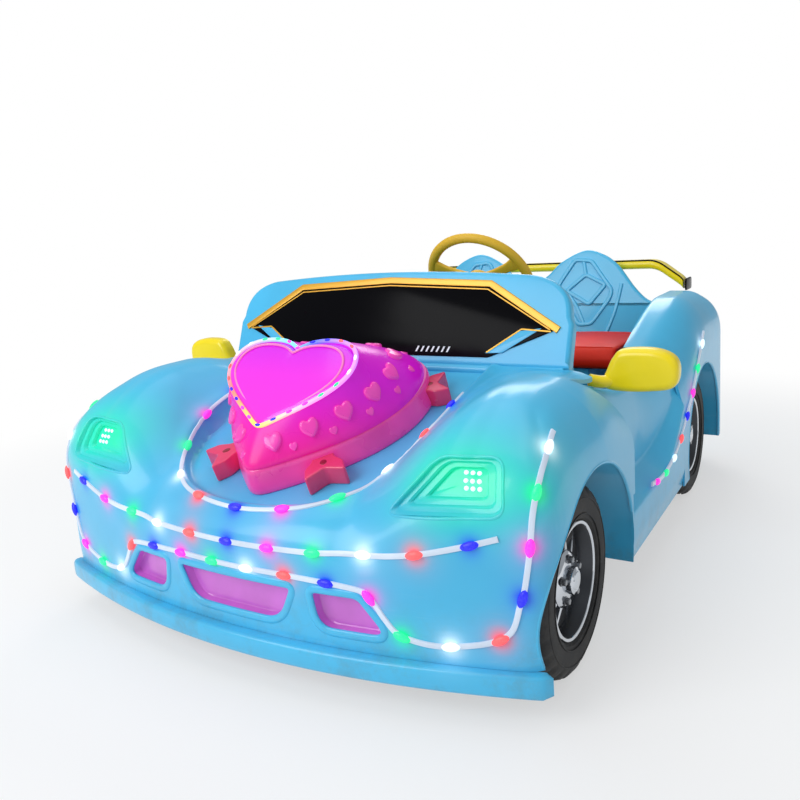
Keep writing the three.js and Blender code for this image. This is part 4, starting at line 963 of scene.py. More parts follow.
def store_glow(made, sources, extra=()):
    """Keeps on each point the colour, and in alpha the share, of the light that nearby lamps throw on the skin."""
    mesh = made.data
    co, facing = np.zeros((2, len(mesh.vertices) * 3))
    mesh.vertices.foreach_get("co", co)
    mesh.vertex_normals.foreach_get("vector", facing)
    co, facing = co.reshape(-1, 3), facing.reshape(-1, 3)
    colour, share = np.zeros((len(co), 3)), np.zeros(len(co))
    for place, light in sources:
        far = np.linalg.norm(co - np.asarray(place), axis=1)
        outward = np.asarray(place) - (0, -0.2, 0.05)
        open_side = np.clip((facing @ (outward / np.linalg.norm(outward)) + 0.15) / 0.2, 0, 1)
        weight = sum(strength * np.exp(-(far / reach) ** 2) for strength, reach in GLOW_SPREADS) * open_side
        colour += weight[:, None] * np.array(light[:3])
        share += weight
    for place, light, reach, strength in extra:
        weight = strength * np.exp(-(np.linalg.norm((co - np.asarray(place)) / np.asarray(reach), axis=1)) ** 2)
        colour += weight[:, None] * np.array(light[:3])
        share += weight
    values = np.column_stack([colour / np.maximum(share, 1e-6)[:, None], np.minimum(share, 0.9)])
    mesh.attributes.new("glow", "FLOAT_COLOR", "POINT").data.foreach_set("color", values.astype(np.float32).ravel())


def inset_well(name, outline, steps, centre, tree, start, way, body="body", replaces=(), finish="orchid",
               glow=()):
    """A recess drawn from its outline: each step is a share of the outline and a depth below the skin."""
    outline = np.asarray(outline, float)
    centre = np.asarray(centre, float)
    skin, _ = on_skin(tree, np.vstack([outline, [centre]]), start, way)
    points, n = [], len(outline)
    for share, depth in steps:
        ring = centre + (outline - centre) * share
        for k in range(n):
            base = skin[k] * share + skin[-1] * (1 - share)
            point = np.array([ring[k][0], base[1], ring[k][1]]) + np.array(way) * depth
            points.append(point)
    points.append(np.array([centre[0], skin[-1][1], centre[1]]) + np.array(way) * steps[-1][1])
    faces = net(len(steps), n, False, True)
    last = (len(steps) - 1) * n
    faces += [(last + j, last + (j + 1) % n, len(points) - 1) for j in range(n)]
    made = raw(name, points, faces)
    solid = made.modifiers.new("wall", "SOLIDIFY")
    solid.thickness, solid.offset = 0.0025, 1
    settle(made)
    if finish == "body":
        store_glow(made, LAMPS, glow)
    return finish_piece(made, finish, body, replaces, 30)


# painted light: green pools round the headlights, painted into the skin's glow
GREEN_GLOW = rgb(8, 226, 150)
PINK_GLOW = rgb(150, 80, 215)
headlight_glow = []
for name, side in SIDES:
    outline = headlight_shape(side)
    centre = (side * 0.480, 0.420)
    low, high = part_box("headlight_" + name)
    lamp_place = (side * 0.478, (low.y + high.y) / 2, 0.425)
    here = [(lamp_place, GREEN_GLOW, (0.120, 0.120, 0.055), 0.95)]
    well = inset_well("headlight_%s_well" % name, outline,
                      [(0.995, 0.000), (0.965, 0.004), (0.93, 0.011), (0.80, 0.013), (0.77, 0.016), (0.74, 0.022),
                       (0.57, 0.023), (0.54, 0.027), (0.52, 0.032), (0.20, 0.033)],
                      centre, FRONT_TREE, from_nose, (0, 1, 0),
                      replaces=("headlight_" + name,), finish="body", glow=here)
    edge, edge_out = on_skin(FRONT_TREE, even(outline, 90, True), from_nose, (0, 1, 0))
    ring = raw("headlight_%s_edge" % name, *sweep(edge - edge_out * 0.0018, edge_out, circle(0.0034, 8), True))
    store_glow(ring, LAMPS, here)
    finish_piece(ring, "body", angle=60)
    headlight_glow.append((lamp_place, GREEN_GLOW, (0.120, 0.150, 0.072), 0.85))
    tree = bvh_of(well)
    dots = [(side * (0.480 + 0.0125 * i - 0.003 * j), 0.412 + 0.0118 * j) for j in range(3) for i in range(3)]
    places, facings = on_skin(tree, dots, from_nose, (0, 1, 0))
    facings = np.tile((0.25 * side, -0.95, 0.15), (9, 1))
    dot = ball_shape("dot", 0.0046, 0.0046, 0.0032, 6, 12)
    copies("headlight_%s_dots" % name, places, facings, np.tile((1.0, 0, 0), (9, 1)), dot, "white_lamp",
           slot="lamp_green")
    bpy.data.objects.remove(dot)

for k, outline in enumerate(GRILLES):
    inset_well("grille_insert_%d" % k, grille_shape(outline),
               [(0.995, 0.004), (0.965, 0.014), (0.95, 0.019), (0.90, 0.021), (0.60, 0.023), (0.30, 0.024)],
               outline.mean(0), FRONT_TREE, from_nose, (0, 1, 0),
               replaces=("grille_panel",) if k == 0 else ())

# painted light: a pink pool from the heart lamp, painted into the basin's glow
basin_glow = [((0, -0.60, 0.42), PINK_GLOW, (0.27, 0.27, 0.10), 0.16)]
store_glow(front, LAMPS, headlight_glow + basin_glow)
finish_piece(front, "body", replaces=("front_body_shell",), angle=38)


def bead(name, path, out, radius=0.0045, finish="body_plain", closed=False, sides=8):
    """A rolled edge along an opening."""
    return piece(name, *sweep(path, out, circle(radius, sides), closed), finish, slot="body_blue")


def side_path(radius, centre_y, centre_z, low_turn, high_turn, tree, side, count=72):
    """Part of a circle laid on the side of the body."""
    turn = np.radians(np.linspace(low_turn, high_turn, count))
    flat = np.column_stack([centre_y + radius * np.cos(turn), centre_z + radius * np.sin(turn)])
    return on_skin(tree, flat, lambda p: (side * 1.2, p[0], p[1]), (-side, 0, 0))


for k, outline in enumerate(GRILLES):
    around = even(inward(grille_shape(outline), -0.0055), 120, True)
    path, out = on_skin(FRONT_TREE, around, from_nose, (0, 1, 0))
    piece("grille_surround_%d" % k, *sweep(path - out * 0.0020, out, circle(0.0085, 14, 0.55), True), "body_plain",
          slot="body_blue", angle=70)


LINER_THICK, LINER_INNER_X, SWING_OUTER_X = 0.003, 0.462, 0.606


def arch_liner(name, side, y, steered):
    """The inside of a wheel arch, closed off from the body and open where a steered tyre swings."""
    outer = prism("liner", ring_outline(ARCH_RADIUS + 0.0015 + LINER_THICK, y + ARCH_SETBACK, ARCH_Z), "x",
                  *sorted((side * LINER_INNER_X, side * ARCH_OUTER_X)))
    keep = moulding("keep", FRONT_SKIN if steered else REAR_SKIN, 0.0015, BOTTOM, 60, 40, 0.0, rows=4)
    carve(outer, [keep], "INTERSECT")
    bore = prism("bore", ring_outline(ARCH_RADIUS + 0.0015, y + ARCH_SETBACK, ARCH_Z), "x",
                 *sorted((side * 0.400, side * 0.720)))
    carve(outer, [bore])
    if steered:
        swing = np.array([(y - 0.30, -0.05), (y + 0.02, -0.05), (y + 0.02, 0.65), (y - 0.30, 0.65)])
        carve(outer, [prism("swing", swing, "x", *sorted((side * 0.440, side * SWING_OUTER_X)))])
    outer.name = outer.data.name = "arch_liner_" + name
    return finish_piece(outer, "body_plain", angle=50)


for name, side in SIDES:
    arch_liner("front_" + name, side, FRONT_AXLE, True)
    arch_liner("rear_" + name, side, REAR_AXLE, False)


# ---- front lip: a thick rounded skirt under the nose ----
LIP_END, LIP_SIDES = 0.020, 28


def lip_ring(x, reach, middle, half_deep, half_high, power, thin, low):
    """One section of a lip: a rounded oblong that draws in towards the lip's ends."""
    taper = math.sqrt(max(0.0, 1 - max(0.0, (abs(x) - (reach - LIP_END)) / LIP_END) ** 2))
    ring = []
    for turn in np.linspace(0, 2 * math.pi, LIP_SIDES, endpoint=False):
        c, s = math.cos(turn), math.sin(turn)
        dy = math.copysign(abs(c) ** power, c) * half_deep * max(taper, thin)
        dz = math.copysign(abs(s) ** power, s) * half_high * lerp(low, 1, taper)
        ring.append((x, middle[0] + dy, middle[1] + dz))
    return ring


def front_lip():
    low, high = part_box("front_lip")
    count, points = 90, []
    for x in np.linspace(-1, 1, count) * high.x:
        outer = low.y + LIP_BOW * (x / BOW_AT) ** 2
        back = nose_line(x) + WALL + 0.006
        points += lip_ring(x, high.x, ((back + outer) / 2, (high.z + low.z) / 2), (outer - back) / 2,
                           (high.z - low.z) / 2, 2 / 4.2, 0.02, 0.75)
    made = raw("front_lip_round", points, net(count, LIP_SIDES, False, True) + caps_of(count, LIP_SIDES))
    store_glow(made, LAMPS)
    return finish_piece(made, "body", replaces=("front_lip",), angle=50)


front_lip()

# ---- rear body ----
rear = moulding("rear_body", REAR_SKIN, 0, BOTTOM, 160, 110)
REAR_TREE = bvh_of(rear)
cutters = [moulding("rear_inner", REAR_SKIN, WALL, BOTTOM - 0.02, 80, 60, 0.008, rows=4)]
WELL_HALF, WELL_END = 0.480, FRONT_AXLE + 1.325
well = np.array([(-WELL_HALF, WELL_END - 0.8), (WELL_HALF, WELL_END - 0.8), (WELL_HALF, WELL_END),
                 (-WELL_HALF, WELL_END)])
cutters.append(prism("well", rounded_outline(well, 0.045, 8), "z", 0.05, 0.8))
for _, side in SIDES:
    cutters.append(arch_cutter(side, REAR_AXLE))
carve(rear, cutters)


def door_skin(y, z, inset):
    """How far out the door stands: full at the sill, dished above a line that climbs to the rear."""
    line = 0.215 + 0.250 * smooth(y, FRONT_AXLE + 0.560, FRONT_AXLE + 1.050)
    recess = smooth(z, line - 0.005, line + 0.045)
    fade = smooth(REAR_CLIP - y, -0.060, 0.260)
    lean = 0.045 * smooth(z, 0.330, 0.560)
    sill = 0.008 * smooth(0.160 - z, 0, 0.060)
    return HALF - inset - 0.055 * recess * lerp(0.35, 1, fade) - lean * recess - sill


def door_panel(name, side):
    rows, columns = 72, 64
    points = []
    for face_inset in (0.0, WALL + 0.002):
        for i in range(rows):
            for j in range(columns):
                v, w = i / (rows - 1), j / (columns - 1)
                rough = lerp(DOOR_FRONT, REAR_CLIP - SEAM, v)
                z = lerp(BOTTOM, float(side_top(rough)), w)
                start = DOOR_FRONT - 0.040 * float(smooth(z, 0.300, 0.340)) - 0.090 * float(smooth(z, 0.380, 0.520))
                y = lerp(start, REAR_CLIP - SEAM, v)
                rolled = 0.012 * (1 - math.sqrt(max(0.0, 1 - max(0.0, (w - 0.95) / 0.05) ** 2)))
                x = float(door_skin(y, z, face_inset))
                points.append((side * (x - (rolled if face_inset == 0 else 0)), y, z))
    n = rows * columns
    faces = net(rows, columns) + [tuple(n + k for k in f[::-1]) for f in net(rows, columns)]
    edge = list(range(columns)) + [i * columns + columns - 1 for i in range(1, rows)]
    edge += [(rows - 1) * columns + j for j in range(columns - 2, -1, -1)]
    edge += [i * columns for i in range(rows - 2, 0, -1)]
    faces += [(a, b, n + b, n + a) for a, b in zip(edge, edge[1:] + edge[:1])]
    made = raw("door_%s" % name, points, faces)
    return carve(made, [arch_cutter(side, REAR_AXLE)])


HAUNCH = np.array([(0.440, 0.232), (0.560, 0.218), (0.700, 0.240), (0.820, 0.300), (0.900, 0.352), (1.000, 0.440),
                   (1.060, 0.500)])
doors = {}
for name, side in SIDES:
    doors[name] = door_panel(name, side)
    low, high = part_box("rear_light_strip_" + name)
    inner_x = low.x if side > 0 else high.x
    flat = smooth_line(HAUNCH + (FRONT_AXLE, 0), 110)
    path = np.column_stack([np.full(len(flat), inner_x - side * 0.0003), flat[:, 0], flat[:, 1]])
    out = np.tile((float(side), 0.0, 0.0), (len(path), 1))
    light_strip("rear_light_strip_" + name, path, out, 0.080, 1)
store_glow(rear, LAMPS)
finish_piece(rear, "body", replaces=("rear_body_shell",), angle=38)
for name, side in SIDES:
    store_glow(doors[name], LAMPS)
    finish_piece(doors[name], "body", replaces=("door_panel_" + name,), angle=38)


def rear_lip():
    """The rounded bumper under the tail."""
    low_z, high_z, half_deep = 0.0597, 0.109, 0.025
    count, reach, points = 80, 0.560, []
    for x in np.linspace(-reach, reach, count):
        middle = (REAR_HIGH.y - TAIL_BOW * (x / BOW_AT) ** 2 - half_deep, (high_z + low_z) / 2)
        points += lip_ring(x, reach, middle, half_deep, (high_z - low_z) / 2, 0.48, 0.05, 0.7)
    return piece("rear_lip_round", points, net(count, LIP_SIDES, False, True) + caps_of(count, LIP_SIDES),
                 "body_plain", slot="body_blue", angle=50)


rear_lip()
for name, side in SIDES:
    for end, y, tree in (("front", FRONT_AXLE, FRONT_TREE), ("rear", REAR_AXLE, REAR_TREE)):
        low_turn = math.degrees(math.asin((BOTTOM + 0.003 - ARCH_Z) / ARCH_RADIUS))
        path, out = side_path(ARCH_RADIUS + 0.0015, y + ARCH_SETBACK, ARCH_Z, low_turn, 180 - low_turn, tree, side)
        keep = path[:, 1] > REAR_CLIP + 0.002 if end == "rear" else path[:, 1] < DOOR_FRONT - 0.006
        path, out = path[keep], out[keep]
        bead("arch_edge_%s_%s" % (end, name), path - out * 0.0035, out)


# ---- windscreen cowl, its painted glass and gold borders ----
COWL = frame_matrix((1, 0, 0), (0, 0.3634, 0.9317), (0, -0.9317, 0.3634), (0, -0.282, 0.548))
COWL_TALL, COWL_HALF, COWL_CORNER = 0.2211, 0.500, 0.090


def put(place, points):
    m = np.array(place)
    return np.asarray(points, float) @ m[:3, :3].T + m[:3, 3]


def facing_of(place, count):
    return np.tile(np.array(place)[:3, 2], (count, 1))


def cowl_arch(x, drop=0.0):
    return COWL_TALL - drop - 0.028 * (x / COWL_HALF) ** 2


def cowl_outline():
    """The cowl seen from the front: straight sides, rounded shoulders and a bowed top."""
    w, r = COWL_HALF, COWL_CORNER
    edge = w - r - 0.020
    corner = [np.array(p) for p in ((w - 0.008, cowl_arch(w, r)), (w - 0.010, cowl_arch(w, 0.006)),
                                    (edge, cowl_arch(edge)))]
    t = np.linspace(0, 1, 18)[:, None]
    bend = corner[0] * (1 - t) ** 2 + 2 * corner[1] * t * (1 - t) + corner[2] * t * t
    crown = [(x, cowl_arch(x)) for x in np.linspace(edge, -edge, 26)[1:-1]]
    foot = [(w, y) for y in np.linspace(-0.020, cowl_arch(w, r), 8)[:-1]]
    back = [(-x, y) for x, y in foot[::-1]]
    return np.array(foot + [tuple(p) for p in bend] + crown + [(-p[0], p[1]) for p in bend[::-1]] + back)


piece("cowl_round", *slab(cowl_outline(), -0.038, 0, 0.010, COWL), "body_plain", slot="body_blue",
      replaces=("windscreen_cowl",), angle=50)
PANEL_TOP, PANEL_SHOULDER, PANEL_TIP = cowl_arch(0, 0.030), 0.285, 0.462
PANEL = np.array([(-0.300, 0.002), (0.300, 0.002), (PANEL_TIP, 0.070), (PANEL_SHOULDER, PANEL_TOP - 0.014),
                  (0, PANEL_TOP), (-PANEL_SHOULDER, PANEL_TOP - 0.014), (-PANEL_TIP, 0.070)])
piece("screen_glass", *slab(rounded_outline(PANEL, 0.006), 0.0003, 0.0033, 0.0012, COWL, 2), "black",
      slot="black_gloss", replaces=("windscreen_panel",))


def border(name, grow, width, height, lift, finish, slot, replaces=()):
    """A raised border along the glass, from one side tip over the top to the other."""
    corners = [(PANEL_TIP + grow * 1.4, 0.070), (PANEL_SHOULDER + grow * 0.4, PANEL_TOP - 0.014 + grow),
               (0, PANEL_TOP + grow), (-PANEL_SHOULDER - grow * 0.4, PANEL_TOP - 0.014 + grow),
               (-PANEL_TIP - grow * 1.4, 0.070)]
    flat = [(a[0] * (1 - t) + b[0] * t, a[1] * (1 - t) + b[1] * t) for a, b in zip(corners, corners[1:])
            for t in np.linspace(0, 1, 12, endpoint=False)] + [corners[-1]]
    path = put(COWL, [(x, y, lift) for x, y in flat])
    piece(name, *sweep(path, facing_of(COWL, len(path)), ribbon(width, height)), finish, slot=slot, replaces=replaces)


MARK = np.array([(0, 0.012), (0.005, 0.012), (0.011, 0.026), (0.006, 0.026)])
MARK_COUNT, MARK_START, MARK_PITCH = 7, 0.100, 0.0145
border("gold_border", 0.005, 0.017, 0.0036, 0.0010, "gold", "gold_trim", ("windscreen_trim",))
border("gold_pinline", -0.009, 0.0035, 0.0016, 0.0034, "gold", "gold_trim")
for name, side in SIDES:
    wedge = sided(np.array([(0.292, 0.012), (0.371, 0.066), (0.430, 0.074), (0.336, 0.014)]), side)
    piece("screen_wedge_" + name, *slab(rounded_outline(wedge, 0.004), 0.0030, 0.0045, 0.0006, COWL, 2),
          "body_plain", slot="body_blue")
    flash = [(0.452, 0.066), (0.380, 0.071), (0.372, 0.066), (0.296, 0.014)]
    path = put(COWL, [(side * x, y, 0.0036) for x, y in flash])
    piece("screen_flash_" + name, *sweep(path, facing_of(COWL, 4), ribbon(0.004, 0.0016)), "gold", slot="gold_trim")
    for k in range(MARK_COUNT):
        mark = sided(MARK + (MARK_START + MARK_PITCH * k, 0), side)
        piece("screen_mark_%s_%d" % (name, k), *slab(mark, 0.0031, 0.0042, 0.0004, COWL, 1), "white",
              slot="black_gloss")

foot_path = np.linspace((-0.488, -0.284, 0.5215), (0.488, -0.284, 0.5215), 60)
piece("cowl_foot", *sweep(foot_path, np.tile((0, -0.6, 0.8), (60, 1)), circle(0.0125, 16, 0.9)), "body_plain",
      slot="body_blue", angle=70)
rounded_copy("dashboard", "body_plain", 0.008)

# ---- heart lamp: flange, puffed wall, lit top plate and its ring of lamps ----
HEART = Matrix.Translation((0, -0.790, 0.3423)) @ Matrix.Rotation(math.atan(HOOD_SLOPE), 4, "X")
HEART_HALF, HEART_LENGTH, HEART_WALL, HEART_RISE, HEART_TILT = 0.235, 0.4935, 0.057, 0.059, 0.444
PLATE_WIDE, PLATE_TIP, PLATE_LONG, PLATE_STRETCH = 0.71, 0.076, 0.209, 0.8


def heart_outline(half=HEART_HALF, length=HEART_LENGTH, tip=0.0, steps=30, count=132, soften=7):
    """A heart with its tip at the origin, its point and notch softened."""
    h, k = half, length
    top, notch = tip + k, tip + k * 0.84
    right = np.vstack([
        bezier([(0, tip), (h * 0.4, tip + k * 0.14), (h, tip + k * 0.36), (h, tip + k * 0.66)], steps),
        bezier([(h, tip + k * 0.66), (h, tip + k * 0.9), (h * 0.76, top), (h * 0.5, top)], steps),
        bezier([(h * 0.5, top), (h * 0.25, top), (h * 0.06, tip + k * 0.95), (0, notch)], steps)])
    left = right[1:][::-1] * (-1, 1)
    flat = even(np.vstack([right, [(0, notch)], left]), count, True)
    for _ in range(soften):
        flat = (np.roll(flat, 1, 0) + 2 * flat + np.roll(flat, -1, 0)) / 4
    return flat


HEART_BASE = heart_outline(HEART_HALF - 0.004, HEART_LENGTH - 0.008, 0.004)


def heart_ring(share, rise):
    """The heart drawn in by a share of the way to the top plate and raised by a share of the dome's height."""
    x, y = HEART_BASE[:, 0], HEART_BASE[:, 1]
    plate_y = PLATE_TIP + PLATE_LONG * (y / HEART_LENGTH) ** PLATE_STRETCH
    lift = (HEART_RISE + HEART_TILT * (plate_y - PLATE_TIP)) * rise
    return np.column_stack([x * lerp(1, PLATE_WIDE, share), lerp(y, plate_y, share), HEART_WALL + 0.0003 + lift])


def layered(name, rings, finish, **more):
    """A closed piece from rings of points laid one over the other in the heart's frame."""
    count = len(rings[0])
    faces = net(len(rings), count, False, True) + caps_of(len(rings), count)
    return piece(name, put(HEART, np.vstack(rings)), faces, finish, **more)


def level_ring(outline, level):
    return np.column_stack([outline, np.full(len(outline), level)])


outline = heart_outline()
WALL_STEPS = [(0.003, 0.0), (0.0, 0.003), (0.0, 0.012), (0.003, 0.028), (0.006, 0.044), (0.0065, 0.0515),
              (0.009, 0.0560), (0.014, 0.0575), (0.019, 0.0560), (0.022, 0.0520)]
layered("heart_wall", [level_ring(inward(outline, draw), level) for draw, level in WALL_STEPS], "heart_low",
        slot="heart_pink", replaces=("heart_lamp_base",), angle=70)

RINGS = [(0.075, 0.0), (0.068, 0.03), (0.072, 0.08)]
RINGS += [(lerp(0.08, 0.93, t), lerp(0.10, 0.985, t ** 0.82)) for t in np.linspace(0.03, 1, 16)]
RINGS += [(0.96, 0.985), (0.985, 0.955)]
dome = layered("heart_dome", [heart_ring(share, rise) for share, rise in RINGS], "heart_side", slot="heart_pink",
               replaces=("heart_lamp_dome",), angle=70)
tops = [heart_ring(share, rise) for share, rise in ((1.0, 0.930), (1.005, 0.985), (1.02, 1.0), (1.05, 1.005))]
count, middle = len(tops[0]), tops[-1].mean(0)
for k in range(1, 9):
    a = math.pi / 2 * k / 9
    ring = middle + (tops[3] - middle) * math.cos(a)
    ring[:, 2] += 0.006 * math.sin(a)
    tops.append(ring)
layered("heart_top_plate", tops, "heart_top", slot="heart_violet", angle=70)
ring_path = put(HEART, heart_ring(0.955, 1.0))
up = np.tile(np.array(HEART.to_3x3() @ Vector((0, -HEART_TILT, 1)).normalized()), (count, 1))
ring = raw("heart_ring_channel", *sweep(ring_path, up, ribbon(0.0085, 0.0050), True))
RING_HUES = np.array([rgb(255, 214, 90), rgb(255, 110, 110), rgb(120, 226, 255), rgb(90, 110, 255),
                      rgb(255, 150, 235)])[:, :3]
from_middle = np.array([v.co[:2] for v in ring.data.vertices] - ring_path.mean(0)[:2])
way_round = np.arctan2(*from_middle.T) / (2 * math.pi) + 0.5
steps = way_round * len(RING_HUES)
first, blend = steps.astype(int) % len(RING_HUES), (steps % 1)[:, None]
tints = RING_HUES[first] * (1 - blend) + RING_HUES[(first + 1) % len(RING_HUES)] * blend
ring.data.attributes.new("lamp_colour", "FLOAT_COLOR", "POINT").data.foreach_set(
    "color", np.column_stack([tints, np.ones(len(tints))]).astype(np.float32).ravel())
finish_piece(ring, "lamps", angle=60)
RING_LAMPS = 24
spots = even(ring_path, RING_LAMPS, True)
ring_colours = [LAMP_COLOURS[(k // 2) % len(LAMP_COLOURS)] for k in range(RING_LAMPS)]
copies("heart_ring_lamps", spots + up[:RING_LAMPS] * 0.0050, up[:RING_LAMPS], along(spots, True), CAPSULE, "lamps",
       size=0.42, colours=ring_colours, slot="light_strip")
# painted highlight: the plate's ridge and the wall's rim are real beads, their pale lit colour paints the highlights
# along them
crest = middle + (tops[3] - middle) * (0.90, 0.90, 1) + (0, 0, 0.0030)
piece("heart_plate_ridge", *sweep(put(HEART, crest), up, circle(0.0026, 8), True), "rim_line", slot="heart_violet",
      angle=60)
foot = put(HEART, level_ring(inward(outline, 0.0125), 0.0572))
piece("heart_rim_line", *sweep(foot, np.tile(up[0], (len(foot), 1)), circle(0.0030, 8), True), "rim_line",
      slot="heart_pink", angle=60)


def small_heart(name, size, tall):
    """A small puffed heart, its tip along -Y."""
    flat = heart_outline(0.5 * size, size * 1.05, -0.5 * size, 8, 36, 1)
    return raw(name, *slab(flat, -0.002, tall, tall * 0.8, Matrix.Identity(4), 4, 0.0))


def round_wall(share, rise, picks):
    """Spots and facings on the dome at a share of its height."""
    ring, above = heart_ring(share, rise), heart_ring(share + 0.08, rise + 0.06)
    way = along(ring, True)
    climb = above - ring
    out = np.cross(way, climb)
    out /= np.linalg.norm(out, axis=1, keepdims=True)
    turn = np.array(HEART)[:3, :3].T
    return put(HEART, ring)[picks], (out @ turn)[picks], (way @ turn)[picks]


half_way = count // 2
picks = [k for k in range(5, count - 4, 8) if abs(k - half_way) > 6]
share, rise = RINGS[9]
spots, outs, ways = round_wall(share, rise, picks)
badge = small_heart("badge", 0.040, 0.0080)
copies("heart_badges", spots - outs * 0.001, outs, ways, badge, "heart_badge", slot="heart_pink", angle=60)
share, rise = RINGS[5]
spots, outs, ways = round_wall(share, rise, [k + 4 for k in picks if k + 4 < count])
copies("heart_badges_small", spots - outs * 0.001, outs, ways, badge, "heart_badge", size=0.45, slot="heart_pink",
       angle=60)
bpy.data.objects.remove(badge)

LUG = np.array([(-0.040, -0.022), (-0.012, -0.024), (0.010, -0.040), (0.046, -0.042), (0.022, 0.000), (0.046, 0.042),
                (0.010, 0.040), (-0.012, 0.024), (-0.040, 0.022)])
LUG_STEPS, LUG_HEIGHT, LUG_PLACES = 64, 0.042, ((0.132, 0.092), (0.218, 0.400))
lugs, holes = [], []
for x, y in LUG_PLACES:
    for _, side in SIDES:
        heading = math.atan2(y - 0.260, side * x)
        stand = HEART @ Matrix.Translation((side * x, y, 0)) @ Matrix.Rotation(heading, 4, "Z")
        rim = even(rounded_outline(LUG, 0.006, 6), LUG_STEPS, True)
        ends = [put(stand, level_ring(rim, level)) for level in (0.0, LUG_HEIGHT)]
        lug = raw("lug", np.vstack(ends), net(2, LUG_STEPS, False, True) + caps_of(2, LUG_STEPS))
        soften = lug.modifiers.new("soften", "BEVEL")
        soften.width, soften.segments, soften.limit_method, soften.angle_limit = 0.0045, 4, "ANGLE", math.radians(50)
        settle(lug)
        lugs.append(lug)
        # painted shade: a thin dark disc on each lug's top stands for its hole
        hole = ring_outline(0.0095, 0.002, 0, 24) * (1, 0.8)
        holes.append(raw("hole", *slab(hole, 0.036, 0.0424, 0.0012, stand, 2, 0.0)))
finish_piece(joined("heart_lugs", lugs), "coral", angle=60)
finish_piece(joined("heart_lug_holes", holes), "hole", angle=60)


# ---- seat: plinth, puffed bench cushion and two-peaked back ----
rounded_copy("seat_base", "body_plain", 0.007)
CUSHION_LOW, CUSHION_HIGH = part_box("seat_cushion")
CUSHION_SEAMS = (-0.215, 0.0, 0.215)


def bench_cushion():
    """Foam in vinyl: swells between its rims and seams when the cover is blown up."""
    made = rounded_copy("seat_cushion", "red_vinyl", 0.010)
    made.name = made.data.name = "bench_cushion"
    remesh = made.modifiers.new("even", "REMESH")
    remesh.mode, remesh.voxel_size = "VOXEL", 0.0065
    settle(made)
    start = np.zeros(len(made.data.vertices) * 3)
    made.data.vertices.foreach_get("co", start)
    start = start.reshape(-1, 3)
    held = made.vertex_groups.new(name="held")
    near_seam = np.min([abs(start[:, 0] - x) for x in CUSHION_SEAMS], axis=0) < 0.004
    fixed = (start[:, 2] < CUSHION_LOW.z + 0.012) | near_seam
    fixed |= (start[:, 0] < CUSHION_LOW.x + 0.006) | (start[:, 0] > CUSHION_HIGH.x - 0.006)
    fixed |= abs(start[:, 1] - (CUSHION_LOW.y + 0.037)) < 0.004
    held.add([int(k) for k in np.flatnonzero(fixed)], 1.0, "REPLACE")
    cloth = made.modifiers.new("blown", "CLOTH")
    cloth.settings.use_pressure, cloth.settings.uniform_pressure_force = True, 4.0
    cloth.settings.effector_weights.gravity = 0.0
    cloth.settings.tension_stiffness = cloth.settings.compression_stiffness = 12
    cloth.settings.vertex_group_mass = "held"
    cloth.collision_settings.use_collision = False
    cloth.point_cache.frame_start, cloth.point_cache.frame_end = 1, 20
    for moment in range(1, 21):
        SCENE.frame_set(moment)
    settle(made)
    SCENE.frame_set(1)
    swollen = np.zeros(len(start) * 3)
    made.data.vertices.foreach_get("co", swollen)
    move = swollen.reshape(-1, 3) - start
    far = np.linalg.norm(move, axis=1, keepdims=True)
    move *= np.minimum(1, 0.008 / np.maximum(far, 1e-9))
    made.data.vertices.foreach_set("co", (start + move).ravel())
    made.data.update()
    made.vertex_groups.clear()
    made.data.shade_smooth()
    return made


cushion = bench_cushion()
CUSHION_TREE = bvh_of(cushion)


def welt(name, flat, radius=0.0032):
    """Piping laid along a line on the cushion's cover."""
    path, out = on_skin(CUSHION_TREE, flat, lambda p: (p[0], p[1], 0.7), (0, 0, -1))
    return piece(name, *sweep(path - out * radius * 0.4, out, circle(radius, 8)), "red_vinyl", slot="cushion_red",
                 angle=80)


left, right = CUSHION_LOW.x + 0.012, CUSHION_HIGH.x - 0.012
near, far = CUSHION_LOW.y + 0.037, CUSHION_HIGH.y - 0.012
welt("cushion_front_welt", np.column_stack([np.linspace(left, right, 90), np.full(90, near)]))
for k, x in enumerate(CUSHION_SEAMS):
    welt("cushion_seam_%d" % k, np.column_stack([np.full(40, x), np.linspace(near, far, 40)]), 0.0026)

BACK_FOOT, BACK_LEAN = 0.353, 1.044
BACK = frame_matrix((1, 0, 0), (0, 0.2873, 0.9578), (0, -0.9578, 0.2873), (0, 0.617, BACK_FOOT))
SEAT_LINE = [(0, 0.640), (0.060, 0.655), (0.115, 0.705), (0.197, 0.742), (0.262, 0.728), (0.318, 0.690),
             (0.380, 0.615), (0.425, 0.575), (0.470, 0.560)]
half_line = np.array(SEAT_LINE)
full_line = np.vstack([half_line[::-1] * (-1, 1), half_line[1:]])
crest = smooth_line(full_line, 150)[::-1]
crest[:, 1] = (crest[:, 1] - BACK_FOOT) * BACK_LEAN
crest = crest[abs(crest[:, 0]) < 0.4699]
back_outline = np.vstack([[(-0.470, 0.0), (0.470, 0.0), (0.470, crest[0][1])], crest, [(-0.470, crest[-1][1])]])
piece("seat_back_round", *slab(back_outline, -0.028, 0, 0.010, BACK, 5), "body_plain", slot="body_blue",
      replaces=("seat_back",), angle=50)


def raised(name, flat, width, height, closed=False):
    """A moulded rib on the seat back's face."""
    path = put(BACK, [(x, y, -0.0004) for x, y in flat])
    piece(name, *sweep(path, facing_of(BACK, len(path)), ribbon(width, height, 0.5), closed), "body_plain",
          slot="body_blue", angle=60)


